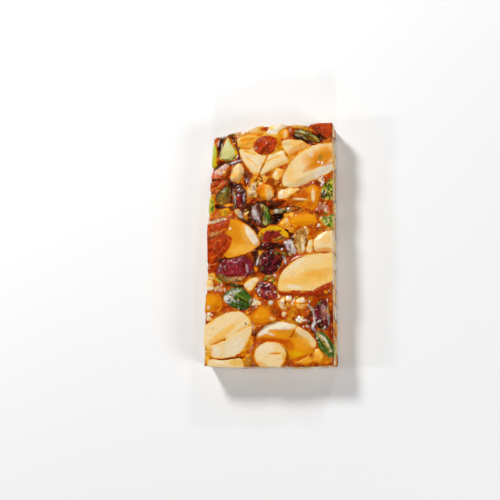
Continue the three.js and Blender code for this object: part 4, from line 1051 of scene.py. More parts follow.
def kernel_finish():
    """A pistachio: sooty and tan streaks along it, and lilac flecks that are painted glints."""
    maker, tint, gloss = begun("pistachio")
    streaks = maker.noise(1.4, 4.0, 0.65, maker.stretched(1.9, 2.0))
    colour = flecked(maker, tint, streaks, 0.5, 4.0, 0.75, "soot")
    colour = flecked(maker, colour, streaks, 0.4, -5.0, 0.4, "tan")
    # Painted glints: pale lilac flecks where a fine noise is high.
    colour = flecked(maker, colour, maker.noise(1.7, 3.0, 0.7), 0.64, 7.0, 0.4, "lilac")
    colour, height = crumbled(maker, tint, gloss, colour, streaks * 1.7)
    return wet(maker, colour, gloss, 0.3, 0.15, height, 0.1, (1.4 * gloss).clamped(), 0.05)


def sugar_finish():
    """Boiled sugar: cloudy in itself, bronze in broad thin patches, and flecked with ivory for bubbles and painted
    glints.
    """
    maker, tint, gloss = begun("boiled_sugar")
    cloudy = shaded(maker, tint, (0.2 + 1.6 * maker.noise(1.1, 6.0, 0.68)).clamped(0.3, 1.7))
    thinness = (maker.node("ShaderNodeRGBToBW", {}, {"Color": tint}) * 5.0).clamped()
    patch = ((maker.noise(0.2, 3.0, 0.5) - 0.5) * 2.5).clamped(0.0, 0.35)
    colour = maker.mix(patch * thinness, cloudy, COLOURS["bronze"])
    # The ivory flecks are small bubbles and painted glints together.
    colour = flecked(maker, colour, maker.noise(2.0, 2.0, 0.6), 0.66, 14.0, 0.6, "ivory")
    height = maker.noise(0.7, 3.0, 0.55) * 0.8 + maker.noise(2.6, 2.0, 0.5) * 0.2
    return wet(maker, colour, gloss, 0.3, 0.08, height, 0.05, gloss, 0.08)


FINISHES = {"flesh": flesh_finish(), "skin": skin_finish(), "kernel": kernel_finish(), "sugar": sugar_finish()}
FINISHES["chip"] = FINISHES["flesh"]
print("finishes:", sorted(FINISHES))

# %% [markdown]
# ## Glaze and broken faces
#
# The sugar that washed over the bar left a glaze: thickest at a nut's edge, where it is drawn up, and in patches
# elsewhere. Where the knife went through a kernel its broken inside is seen instead, pale, stained and cracked.

# %% Glaze and broken faces
CUT_COLOURS = {"flesh": "ivory", "chip": "cream", "skin": "cream", "kernel": "lime"}
GLAZE_EDGE = {"flesh": 0.7, "chip": 0.55, "skin": 0.7, "kernel": 1.4}
GLAZE_PATCH = {"flesh": 0.05, "chip": 0.25, "skin": 0.2, "kernel": 0.15}
STAIN, CRACK, SMEAR = 0.5, 0.35, 0.8


def glaze_depth(kind, places, out):
    """Sugar over a nut: a bell at its edge whose width wanders, and patches a few millimetres across."""
    wander = 0.5 + 0.5 * crags(places, 3.4, seed=51)
    edge = GLAZE_EDGE[kind] * np.exp(-(out / (0.12 + 1.1 * wander ** 2)) ** 2) * (0.35 + wander)
    patch = GLAZE_PATCH[kind] * (smoothstep(0.0, 0.6, crags(places, 4.2, seed=52))
                                 + smoothstep(0.1, 0.7, crags(places, 1.4, seed=53)))
    return edge + patch


def broken_face(own, places):
    """A cut kernel: mottled, stained in patches, cracked where a slow noise is nought, and smeared with sugar."""
    mottled = own * (1 + 0.16 * crags(places, 0.9, seed=41)[..., None])
    stain = STAIN * smoothstep(0.1, 0.6, crags(places, 1.8, seed=45))[..., None]
    crack = CRACK * (1 - smoothstep(0.01, 0.06, np.abs(crags(places, 4.0, seed=49))))[..., None]
    stained = mottled + (COLOURS["tan"] - mottled) * stain
    cracked = stained + (COLOURS["rust"] - stained) * crack
    return glazed(cracked, SMEAR * smoothstep(0.05, 0.6, crags(places, 3.2, seed=50)))


print("glaze at the edge of a nut:", GLAZE_EDGE)

# %% [markdown]
# ## Specks
#
# Some nuts are a jumble of small marks: the skin of a pistachio, or a piece crushed by the knife. `SPECKLED` says
# how many specks each has and of which colours, and a seeded draw places them. The white specks are painted
# glints.

# %% Specks
SPECKLED = {
    # node: how many specks, and their colours
    "pistachio_edge_right": (60, ["soot", "moss", "pear", "lime", "straw", "leaf", "soot"]),
    "pistachio_chip_right": (20, ["moss", "leaf", "pear", "lime"]),
    "pistachio_crumbs_left": (24, ["moss", "lime", "pear", "mustard", "leaf", "lime"]),
    "almond_mustard_left": (22, ["mustard", "olive", "ember", "bronze"]),
    "pistachio_yellow_middle": (12, ["bark", "maroon", "ember"]),
    "pistachio_olive_left": (26, ["soot", "moss", "bronze", "lime", "honey"]),
    "cashew_grey_left": (9, ["bark", "glint_white", "tan"]),
    "pistachio_strip_upper": (20, ["umber", "tan", "glint_white", "moss"]),
    "pistachio_purple_lower": (30, ["umber", "rose", "ember", "tan", "maroon", "glint_white"]),
    "pistachio_maroon_middle": (24, ["soot", "wine", "bark", "rust"]),
    "pistachio_maroon_upper": (14, ["soot", "lilac", "scarlet"]),
    "pistachio_purple_left": (9, ["maroon", "plum", "bark"]),
    "pistachio_purple_right": (24, ["umber", "rose", "olive", "soot", "grey"]),
    "pistachio_olive_head": (14, ["soot", "pear", "moss", "leaf"]),
    "pistachio_green_middle": (8, ["soot", "umber", "moss"]),
    "pistachio_green_corner": (6, ["soot", "moss", "grey"]),
    "pistachio_green_foot": (14, ["soot", "moss", "grey"]),
    "almond_shard_right": (16, ["umber", "cream", "bronze"]),
    "cashew_chip_upper": (14, ["umber", "ivory", "honey"]),
    "almond_mauve_left": (18, ["brick", "tan", "lilac", "ivory"]),
    "almond_skin_strip_left": (12, ["bark", "tan", "honey"]),
    "cashew_crushed_left": (10, ["ember", "ivory"]),
    "cashew_crushed_right": (10, ["ember", "ivory"]),
}


def speckles(name):
    """Small strokes drawn over a nut, evenly over its plan: the way out is the root of a draw."""
    count, colours = SPECKLED.get(name, (0, []))
    nut = READ[name]
    turn, out, hue, length, width, lean = np.random.default_rng(NUTS.index(name)).random((6, count))
    reach = 0.95 * np.sqrt(out) * np.interp(2 * np.pi * turn, ANGLES, nut["radii"], period=2 * np.pi)
    x = nut["middle"][0] + reach * np.cos(2 * np.pi * turn)
    y = nut["middle"][1] + reach * np.sin(2 * np.pi * turn)
    return [(colours[int(h * len(colours))], px, py, 0.3 + 0.6 * a, 0.16 + 0.2 * b, 180 * t, 0.9)
            for h, px, py, a, b, t in zip(hue, x, y, length, width, lean)]


print(sum(count for count, _ in SPECKLED.values()), "specks")

# %% [markdown]
# ## Making the nuts
#
# Each nut's rings start at its middle and crowd together towards the edge, where the surface turns. Then come the
# walls, which draw in downwards, and the underside. Only the walls at a cut face are seen. They take the colour
# of a broken kernel, and a low gloss that marks them as broken for the finish. `MOTTLED` and `WORN_STROKES` say
# how uneven the colour and the strokes of each kind are.

# %% Making the nuts
CELL = 0.27
FEWEST_TURNS = 40
FEWEST_RINGS, MOST_RINGS = 8, 60
CROWDING = 1.35
WALL_SHARE = 0.86
WALL_STEP = 0.55
WALL_PITS = 0.1
# The glaze in the creases is sugar that gathered there and painted shade together.
CREASE_GLAZE_AND_SHADE = 2.4
GLOSS_MEAN, GLOSS_LEAST, GLOSS_BROKEN = 0.55, 0.32, 0.12
MOTTLED = {"flesh": 0.05, "chip": 0.2, "skin": 0.12, "kernel": 0.25}
WORN_STROKES = {"flesh": 0.15, "chip": 0.45, "skin": 0.35, "kernel": 0.5}


def round_about(nut, key, angles):
    """A value that a nut keeps for each ray, read at other angles."""
    return np.interp(angles, np.append(ANGLES, 2 * np.pi), np.append(nut[key], nut[key][0]))


def nut_rings(name):
    """The rings of one nut, and for its top the distance to the edge and the glaze and painted shade in the
    creases.
    """
    nut = READ[name]
    turns = int(np.clip(2 * np.pi * nut["radii"].mean() / CELL, FEWEST_TURNS, TURNS))
    angles = np.arange(turns) * 2 * np.pi / turns
    rays = np.stack([np.cos(angles), np.sin(angles)], -1)
    radii, edge_round, cut, lift = [round_about(nut, key, angles) for key in ("radii", "round", "cut", "lift")]
    outward = int(np.clip(nut["radii"].max() / CELL, FEWEST_RINGS, MOST_RINGS))
    shares = (1 - (1 - np.linspace(0, 1, outward + 1)[1:]) ** CROWDING)[:, None]
    x, y = (nut["middle"] + (shares * radii)[..., None] * rays).transpose(2, 0, 1)
    out = (1 - shares) * radii
    top = np.stack([x, y, nut_height(name, x, y, shares, out, edge_round)], -1)
    rim_z = top[-1, :, 2]
    rows = max(4, int((rim_z.mean() - nut["low"]) / WALL_STEP))
    fall = np.linspace(0, 1, rows + 1)[1:, None]
    narrow = 1 - (1 - WALL_SHARE) * fall * (1 - cut)
    wall_x, wall_y = (nut["middle"] + (narrow * radii)[..., None] * rays).transpose(2, 0, 1)
    wall = np.stack([wall_x, wall_y, rim_z + (nut["low"] + lift - rim_z) * fall], -1)
    wall[..., :2] -= WALL_PITS * ((1 + crags(wall, 1.0, seed=12)) * cut)[..., None] * rays
    under = wall[-1:] * 0.5 + np.append(nut["middle"], nut["low"]) * 0.5
    return np.concatenate([top, wall, under]), cut, out, CREASE_GLAZE_AND_SHADE * crease_depth(name, x, y)


def nut_shape(name):
    """The rings, tints and glosses of one nut."""
    kind, own, strokes = LOOKS[name]
    rings, cut, out, creased_and_shaded = nut_rings(name)
    top, wall = slice(0, len(out)), slice(len(out), -1)
    tint = paint(np.broadcast_to(COLOURS[own], rings.shape).copy(), rings, strokes, WORN_STROKES[kind])
    tint = paint(tint, rings, speckles(name))
    tint = tint * (1 + MOTTLED[kind] * crags(rings, 0.8, seed=8)[..., None])
    # Glaze over the top, with painted shade darkening the creases.
    tint[top] = glazed(tint[top], glaze_depth(kind, rings[top], out + 3 * cut) + creased_and_shaded)
    flesh = broken_face(COLOURS[CUT_COLOURS[kind]], rings[wall])
    tint[wall] += (flesh - tint[wall]) * cut[None, :, None]
    gloss = np.clip(GLOSS_MEAN + 0.5 * crags(rings, 2.2, seed=4), GLOSS_LEAST, 1)
    gloss[wall] *= 1 - (1 - GLOSS_BROKEN) * cut
    return closed_shape(rings, tint, gloss)


for nut_name in NUTS:
    slot_name = next(s["material_slot"] for s in frame["record"]["subparts"] if s["node"] == nut_name)
    make_piece("nut_" + nut_name, [nut_shape(nut_name)], FINISHES[LOOKS[nut_name][0]], slot_name, nut_name)
print(len(NUTS), "nuts made")

# %% [markdown]
# ## Chopped bits
#
# Stirring breaks some nuts to bits, which lie at every depth in the sugar. Those near the surface glow gold through
# it, and some stand out of it. They could be pieces of their own, but most are seen only as patches of colour, so
# they belong to the sugar's own height and depth. `CRUMBS` repeats the frame's crumbs, `CLUSTERS` are crushed
# patches, and a seeded draw buries larger bits everywhere. Each is a place, a size, a rise over the sugar and a
# colour.

# %% Chopped bits
CRUMBS = [[5.1, 8.1, 1.1], [5.6, 9.9, 0.8], [7.6, 4.9, 0.9], [8.4, -2.4, 1.1], [7, 0.2, 1], [10.7, -26.5, 1.2],
          [0.8, -20.6, 0.9], [5.3, -24.5, 0.7], [-21.7, -8.6, 0.9], [-20.8, -10.6, 0.9], [-2.2, 23.6, 0.9],
          [-12.4, 40.1, 0.9], [18.6, 12.6, 0.9], [20.8, 12, 0.9], [17.6, 22.6, 0.7], [-18.4, -15, 0.9],
          [-3.8, -20.6, 0.9], [13.6, -24, 0.9], [14.4, -27.6, 0.8], [9.6, -40, 0.9], [2.6, -11.8, 0.8],
          [-1.2, -12.2, 0.9], [-7.2, -37.6, 0.8], [-21.4, -26, 0.7]]
# The lilac and grey crumbs are painted glints on raised crumbs.
CRUMB_COLOURS = [
    "straw", "honey", "honey", "lilac", "lilac", "grey", "grey", "cream", "scarlet", "straw",
    "straw", "tan", "rose", "ember", "cream", "tan", "cream", "ember", "umber", "honey", "ember",
    "olive", "ember", "cream",
]
CLUSTERS = [
    # The white, grey and lilac bits, as at (7.4, -1.4) and (-5, -20.4), are sugar crystals with painted glints.
    # x, y, spread, count, size, colours
    (5.8, 7.4, 1.5, 26, 0.6, ["straw", "marigold", "honey", "cream"]),
    (-3.6, 23, 2.0, 14, 0.55, ["ivory", "cream", "straw", "honey"]),
    (17.6, 22.2, 1.8, 12, 0.35, ["ivory", "grey", "rose"]),
    (18.6, 12.6, 1.6, 18, 0.5, ["rose", "tan", "ember", "ivory"]),
    (7.6, -20.4, 2.6, 24, 0.6, ["ivory", "honey", "straw", "ember"]),
    (0.4, -12, 1.8, 16, 0.45, ["olive", "tan", "straw"]),
    (-21.4, -11.6, 1.3, 16, 0.5, ["cream", "straw", "honey", "ivory"]),
    (-18, -15.4, 2.0, 14, 0.4, ["tan", "rose", "ivory"]),
    (-21.8, -25, 0.9, 10, 0.4, ["ivory", "cream", "rose"]),
    (-5, -20.4, 1.2, 8, 0.5, ["ivory", "grey"]),
    (-12.6, 40, 2.0, 12, 0.5, ["tan", "straw", "umber"]),
    (-20.6, 14, 1.6, 16, 0.5, ["lime", "leaf", "moss"]),
    (20, 7.6, 1.8, 14, 0.45, ["lime", "leaf", "pear", "ivory"]),
    (7.4, -1.4, 2.0, 18, 0.45, ["grey", "lilac", "umber", "glint_white"]),
    (-12.6, 14.4, 1.6, 10, 0.35, ["umber", "olive", "tan"]),
    (3, 21.8, 2.4, 10, 0.35, ["straw", "ember", "cream"]),
]
CRUMB_RISE = 0.25
BURIED = 560
BURIED_COLOURS = ["cream", "straw", "honey", "tan", "amber", "ember"]

chance = np.random.default_rng(11)
bits = [(x, y, size, CRUMB_RISE, colour) for (x, y, size), colour in zip(CRUMBS, CRUMB_COLOURS)]
for x, y, spread, count, size, colours in CLUSTERS:
    places = np.array([x, y]) + spread * np.clip(chance.normal(size=(count, 2)) * 0.7, -1.6, 1.6)
    sizes = size * (0.5 + chance.random(count))
    rises = 0.3 - 0.5 * chance.random(count)
    bits += [(px, py, each, rise, colours[int(draw * len(colours))])
             for (px, py), each, rise, draw in zip(places, sizes, rises, chance.random(count))]
buried_places = np.stack([chance.uniform(-22.5, 22.5, BURIED), chance.uniform(-42.5, 42.5, BURIED)], -1)
buried_sizes = 0.5 + 1.9 * chance.random(BURIED) ** 2
buried_rises = -0.15 - 2.2 * chance.random(BURIED)
buried_draws = chance.integers(len(BURIED_COLOURS), size=BURIED)
bits = [(px, py, each, rise, BURIED_COLOURS[draw]) for (px, py), each, rise, draw
        in zip(buried_places, buried_sizes, buried_rises, buried_draws)] + bits
print(len(bits), "bits")

# %% [markdown]
# ## The sugar's surface
#
# Between the nuts the sugar is a height over the plan. It is low in the middle of a gap and climbs each nut's
# edge in a meniscus, which ends `CLIMB` below the nut's own level. It laps over the edge by `LAP`, a mean and how
# far it wanders, and further in it dips out of sight. `SWELLS` are the hollows and swells that shaped the slab.

# %% The sugar's surface
SUGAR_TOP = 9.2
SUGAR_UNDER = 0.25
SWELLS = [(-18.6, 34.6, 1.7, -1.8), (-14.2, 38.3, 1.4, -1.4), (-18.6, 30.2, 1.5, -1.2),
          (-8.6, 25.4, 1.9, -1.5), (-12.4, 21.6, 1.6, -1), (2.3, 8.8, 2.2, -1.9), (-6.5, 5.9, 1.5, -1.2),
          (16, 38.9, 1.8, -1.2), (-5.2, 0.2, 1.4, -1.2), (9.4, -24.6, 2.4, -0.9), (3.4, -10.9, 1.5, -1),
          (9.5, 15.4, 4.5, 0.7), (15.6, 13.2, 3, 0.5), (7.4, -1.6, 2.2, 0.5), (-17.4, 40.2, 2, 0.6),
          (-14.4, -21.8, 3, 0.3), (16, 4.4, 2.4, 0.3), (-7.2, -37.6, 1.6, -0.7), (9.2, -39.6, 1.6, -0.8)]
MENISCUS = 2.4
CLIMB = {"flesh": 0.0, "chip": 0.02, "skin": 0.1, "kernel": 0.4}
LAP = {"flesh": (0.1, 0.3), "chip": (0.12, 0.4), "skin": (0.1, 0.4), "kernel": (0.25, 0.5)}
TOP_INSET = 0.14
HALF_ACROSS, HALF_ALONG = 22.5, 42.7
ACROSS, ALONG = 168, 310
SUGAR_GRID = (ALONG + 1, ACROSS + 1)
FAR = 9.0


def plan_grid(inset):
    """The bar's plan as a grid of x and y: shares across and along, carried between the four cut faces."""
    v, u = np.meshgrid(np.linspace(0, 1, SUGAR_GRID[0]), np.linspace(0, 1, SUGAR_GRID[1]), indexing="ij")
    flat_x = -22 + 44 * u
    y = (1 - v) * (inset - face_at("foot", flat_x)) + v * (face_at("head", flat_x) - inset)
    x = (1 - u) * (inset - face_at("left", y)) + u * (face_at("right", y) - inset)
    return x, y


def grid_cell(x, y):
    """The row and column of the grid at a place, as if it were evenly spaced."""
    row, column = (y + HALF_ALONG) / (2 * HALF_ALONG) * ALONG, (x + HALF_ACROSS) / (2 * HALF_ACROSS) * ACROSS
    return np.asarray(row).astype(int), np.asarray(column).astype(int)


def nut_gap(nut, x, y):
    """How far outside a nut's outline each place is (negative inside)."""
    dx, dy = x - nut["middle"][0], y - nut["middle"][1]
    reach, angle = np.hypot(dx, dy), np.arctan2(dy, dx) % (2 * np.pi)
    return (reach - round_about(nut, "radii", angle)) * round_about(nut, "lean", angle)


def sugar_base(x, y):
    """Slow waves and the listed round bumps on the mean level."""
    waves = 0.16 * np.sin(0.52 * x + 0.9) * np.cos(0.41 * y) + 0.1 * np.sin(0.9 * y + 0.37 * x)
    bumps = sum(h * np.exp(-((x - cx) ** 2 + (y - cy) ** 2) / r ** 2) for cx, cy, r, h in SWELLS)
    return SUGAR_TOP + waves + bumps


sugar_x, sugar_y = plan_grid(TOP_INSET)
flat_places = np.stack([sugar_x, sugar_y, np.zeros(SUGAR_GRID)], -1)
base = (sugar_base(sugar_x, sugar_y) + 0.16 * lumps(flat_places, 2.6, seed=21)
        + 0.07 * lumps(flat_places, 0.9, seed=22))
sugar_z = base.copy()
pale_gap = np.full(SUGAR_GRID, FAR)
nearest = np.full(SUGAR_GRID, FAR)
shores = []
for nut_name in NUTS:
    nut, kind = READ[nut_name], LOOKS[nut_name][0]
    gap = nut_gap(nut, sugar_x, sugar_y)
    climb = nut_level(nut, sugar_x, sugar_y) - CLIMB[kind] - facet_drop(nut_name, sugar_x, sugar_y)
    rise = np.maximum(climb - base, 0) * np.exp(-np.clip(gap, 0, FAR) / MENISCUS)
    sugar_z = np.maximum(sugar_z, np.where(gap < 5, base + rise, base))
    nearest = np.minimum(nearest, gap)
    if kind in ("flesh", "chip"):
        pale_gap = np.minimum(pale_gap, gap)
    shores.append((LAP[kind], gap, climb))
lap_wander = crags(flat_places, 2.4, seed=38)
for (mean, wander), gap, climb in shores:
    within = -gap - (mean + wander * lap_wander)
    sunk = climb + 0.05 - 1.2 * smoothstep(0.1, 1.3, within) - 0.25 * smoothstep(0, 0.4, within)
    sugar_z = np.where(gap < 0, np.minimum(sugar_z, sunk), sugar_z)
print("sugar from", sugar_z.min().round(2), "to", sugar_z.max().round(2), "mm")

# %% [markdown]
# ## Depth of the sugar
#
# How deep the sugar is at a point decides its colour. The table of pools names the depth wherever the photograph
# shows it: gold where a pale nut lies close beneath, nearly black in the hollows. Its narrow dark pools in the gaps
# and cracks beside the nuts are painted shade. The sugar is thinner beside the pale nuts, which shine through it,
# and in a thin line beside some others it is darker, which is painted shade in the crevices.

# %% Depth of the sugar
DEPTH_AND_SHADE_POOLS = [
    # x, y, half length, half width, turn, depth (narrow dark pools in the gaps beside nuts are painted shade)
    (-20.5, 38.6, 1.7, 1.8, 0, 1.8), (-18.8, 35.6, 0.9, 3, -6, 4.6), (-17.4, 39.8, 3, 1, 8, 2.8),
    (-13.4, 39.6, 2.6, 1.2, -15, 2.8), (-13.2, 36.8, 0.6, 2.6, 24, 4.2), (-11.8, 32.4, 0.6, 2.2, 0, 3.6),
    (-15, 29.7, 4, 0.6, -6, 4.2), (-9.4, 40.4, 3.4, 0.9, 6, 1.0), (-6, 38.6, 1.2, 1.6, 0, 0.7),
    (-3, 39.6, 3, 0.8, 0, 0.7), (2.6, 36.2, 0.7, 2.6, 0, 1.3), (2.2, 33.8, 1.6, 1, 0, 1.0),
    (1.6, 39, 1.6, 0.7, 0, 0.6), (7.6, 40.8, 0.8, 1.2, 0, 2.2), (9, 42.2, 4, 0.7, 0, 1.3),
    (12, 41.2, 3.4, 0.6, -20, 1.0), (11.4, 36.8, 4.2, 0.6, -26, 4.8), (18, 37.2, 1.6, 1, 0, 4.4),
    (20.2, 36.2, 1.8, 0.8, 0, 1.9), (12.4, 34.7, 2, 0.5, -10, 1.4), (7, 30.6, 2.4, 0.9, 50, 1.1),
    (4.4, 27.8, 2.6, 0.7, 60, 1.6), (-2.6, 28.6, 0.6, 4, 24, 1.9), (-9.6, 28, 0.7, 2.6, 20, 2.4),
    (-8.2, 25, 1.3, 1.8, 20, 3.0), (-5.4, 22.9, 2.6, 1.2, 0, 1.1), (-3, 23.3, 1.8, 0.9, -20, 3.6),
    (-4.8, 20, 0.6, 2.4, 12, 3.6), (-8.8, 22.8, 0.9, 1.8, 10, 3.2), (-0.6, 22.6, 1.8, 0.9, 0, 2.2),
    (2.6, 21.6, 2, 0.9, 0, 2.2), (-15.4, 25.2, 0.6, 1.6, -20, 2.8), (-20, 23.7, 3, 0.5, 10, 3.0),
    (-12.8, 21.4, 2, 0.8, 0, 4.6), (-14.4, 22.6, 1, 0.9, 0, 4.0), (-14.4, 18.4, 0.6, 2.4, 0, 4.6),
    (-11.6, 13, 2.2, 0.8, 0, 4.8), (-8.4, 15, 1, 1.6, 0, 2.2), (-2, 14.5, 7, 1.1, 2, 2.8),
    (5, 14.2, 4, 0.9, 0, 3.4), (-7.2, 16.2, 1.4, 0.7, 0, 2.6), (2.4, 8.9, 2.4, 1.8, 0, 6.5),
    (0.6, 13.2, 1.4, 0.7, 0, 4.8), (1.4, 17.6, 0.5, 2.2, 0, 3.0), (-1.6, 15.2, 2.4, 0.5, 0, 3.6),
    (-7.5, 9.2, 0.9, 3, -20, 4.8), (-6.6, 6, 3.6, 1.1, -42, 5.4), (-3.7, 1.6, 0.7, 2.6, 0, 4.4),
    (-8.2, 13.2, 1.2, 1.2, 0, 4.2), (-14, 13.6, 1.2, 0.6, 0, 3.8), (-18.4, 14, 1.6, 0.7, 0, 5.2),
    (-20.4, 10.4, 1.8, 0.6, 0, 1.4), (-16, 14.5, 1.4, 0.5, 0, 0.9), (11, 12.2, 5.4, 1, -8, 1.8),
    (16.8, 12.4, 0.9, 2.8, 6, 2.8), (19, 12.4, 2, 1.6, 0, 2.2), (5.8, 7.2, 2.2, 2.2, 0, 0.6),
    (12, 4.8, 5, 1.6, -16, 1.6), (17, 5.2, 2.6, 1.6, -20, 1.7), (6.8, 3, 1.2, 1.8, 30, 4.2),
    (7, -0.8, 2.2, 2.4, 0, 2.9), (-17.4, -6, 3.8, 0.7, -42, 4.8), (-21.8, -8.2, 1, 1.6, 0, 2.0),
    (-21, -11.4, 1.3, 1.6, 0, 0.7), (-14.6, -4.4, 4, 0.4, 16, 4.2), (-5, -4.2, 0.9, 3, 12, 5.0),
    (-6, -2.2, 2, 0.6, 24, 4.2), (0, -0.8, 4.4, 1.0, 0, 4.4), (5.4, -3.8, 1.6, 1.3, 0, 3.4),
    (6.2, -7.4, 1, 2.6, -40, 3.0), (0.6, -11.8, 3.4, 0.9, 0, 2.2), (-5.4, -9.6, 1.6, 0.9, 40, 3.0),
    (-12.6, -14.4, 4, 0.5, -6, 3.6), (-18.4, -14.6, 2.6, 1.6, 0, 2.2), (-4.6, -19.8, 1.4, 1.4, 0, 2.2),
    (0.6, -21, 3, 1.6, 0, 1.8), (3.6, -17.8, 2, 0.6, 0, 2.2), (9.6, -17.9, 6, 0.5, -2, 2.4),
    (16, -18.4, 3.4, 1.5, 0, 2.5), (20, -18, 2.4, 1.6, 0, 2.3), (8, -23.2, 5.4, 1, 0, 1.6),
    (-14.4, -22.8, 5.6, 1.2, 10, 1.9), (-20, -24.6, 2.6, 0.8, 16, 1.9), (-7, -23.6, 1.2, 1.8, 20, 1.8),
    (2.6, -25, 2.4, 2, 0, 2.1), (7.4, -25.6, 4.6, 1.3, -8, 1.8), (-6.6, -33.6, 1.1, 5, -6, 0.95),
    (-8, -39.2, 1.6, 2.8, 0, 1.0), (-5.6, -29.6, 0.7, 2, 0, 2.4), (10.6, -27.2, 3, 0.9, -20, 2.6),
    (14.6, -24.6, 1.6, 3.4, 14, 3.0), (15.8, -29.6, 0.9, 1.4, 0, 3.4), (9.4, -39.6, 2.2, 1, 0, 2.6),
    (13, -40.4, 4, 1.2, 4, 0.9), (15.2, -35.4, 2.4, 0.4, 14, 3.8), (21.8, -30.4, 0.8, 2, 0, 2.4),
    (20, -40.4, 2.2, 1.3, 0, 1.2), (-13, -40, 4.4, 0.35, 6, 4.0), (-21.7, -38, 1.1, 2.6, 0, 0.6),
    (17.2, -33, 0.8, 1.6, 30, 3.0), (15.4, 9.6, 1, 0.6, 0, 1.4), (14.6, 21.4, 3, 0.6, 16, 2.6),
    (17.6, 21.8, 1.8, 1.2, 30, 2.6), (16.8, -37.6, 0.8, 0.6, 0, 1.2),
]
bed_depth_and_shade = 1.9 + 0.9 * crags(flat_places, 4.6, seed=33)
for x, y, half_length, half_width, turn, deep in DEPTH_AND_SHADE_POOLS:
    bed_depth_and_shade += (deep - bed_depth_and_shade) * stroke_mask(flat_places, x, y, half_length * 1.2, half_width * 1.25, turn)
bed_depth_and_shade = bed_depth_and_shade * (1 + 0.45 * crags(flat_places, 1.2, seed=31))
bed_depth_and_shade = bed_depth_and_shade * (1 - 0.3 * np.exp(-np.clip(pale_gap, 0, FAR) / 0.5))
# Painted shade: along parts of the nuts' edges, where the sugar is deep, a thin dark line beside the edge.
crevice_shade = np.exp(-(np.clip(nearest, 0, FAR) / 0.3) ** 2) * smoothstep(0.0, 0.35, crags(flat_places, 5, seed=35))
bed_depth_and_shade = bed_depth_and_shade + 2.6 * (crevice_shade * smoothstep(1.5, 3.2, bed_depth_and_shade))
print("sugar", bed_depth_and_shade.mean().round(1), "mm deep on the whole")

# %% [markdown]
# ## Bits in the sugar
#
# Each bit is set into the bed as a small pyramid, whose height falls with the largest of a few slanted distances,
# so that the sugar over it is thin. Where one stands higher than the sugar it becomes the surface, bare and dull.
# Buried bits stay out of the deep pools. The sugar shines most away from the nuts, because on the steep meniscus
# at an edge the lights would veil its colour.

# %% Bits in the sugar
BIT_SIDES = 5
BIT_SLOPE = 0.9
BIT_FLAT = 0.3
GOLDEN = 0.618
BARE_SHINE, WET_SHINE = 0.25, 0.95
bed_z = sugar_z - np.clip(bed_depth_and_shade, 0.1, FAR)
bed_tint = np.broadcast_to(COLOURS["cream"], (*SUGAR_GRID, 3)).copy()
cell_x, cell_y = np.median(np.diff(sugar_x, axis=1)), np.median(np.diff(sugar_y, axis=0))
fray = 1 + 0.5 * crags(flat_places, 1.1, seed=36)
hidden = smoothstep(2.4, 3.4, bed_depth_and_shade)
for number, (x, y, size, rise, colour) in enumerate(bits):
    row, column = grid_cell(x, y)
    wide, tall = int(1.5 * size / cell_x) + 3, int(1.5 * size / cell_y) + 3
    window = (slice(max(row - tall, 0), row + tall), slice(max(column - wide, 0), column + wide))
    dx, dy = sugar_x[window] - x, sugar_y[window] - y
    turns = 2 * np.pi * (np.arange(BIT_SIDES) / BIT_SIDES + GOLDEN * number)
    slant = np.max([dx * math.cos(t) + dy * math.sin(t) for t in turns], axis=0) * fray[window]
    peak = sugar_z[window] + rise - BIT_SLOPE * np.maximum(slant - BIT_FLAT * size, 0)
    peak = peak - 3 * hidden[window] * (number < BURIED)
    inside = (slant < size) & (peak > bed_z[window])
    bed_z[window] = np.where(inside, peak, bed_z[window])
    bed_tint[window] = np.where(inside[..., None], COLOURS[colour], bed_tint[window])
open_sugar = nearest > 0.05
bare = (bed_z > sugar_z) & open_sugar
clear_of_nuts = smoothstep(0.4, 1.5, nearest + 0.6 * crags(flat_places, 2.2, seed=39))
shine = np.where(bare, BARE_SHINE, WET_SHINE) * (0.12 + 0.88 * clear_of_nuts)
thin = 0.3 + 0.7 * smoothstep(-0.6, 0.05, nearest)
depth = np.where(open_sugar, np.clip(sugar_z - bed_z, 0, FAR), np.clip(bed_depth_and_shade * thin, 0.2, FAR))
sugar_z = np.minimum(np.where(bare, bed_z, sugar_z), HIGHEST - 0.1)
print("bare bits cover", round(float(bare.mean()) * 100, 1), "% of the face")

# %% [markdown]
# ## Sheens and glints
#
# The sugar's own colour comes from its depth over the bed. On it lie thin broken strokes of painted sheen and of
# colour, placed where the photograph shows them, and small painted white glints, drawn over the deep sugar.

# %% Sheens and glints
BROKEN = 0.6
GLINTS = 170
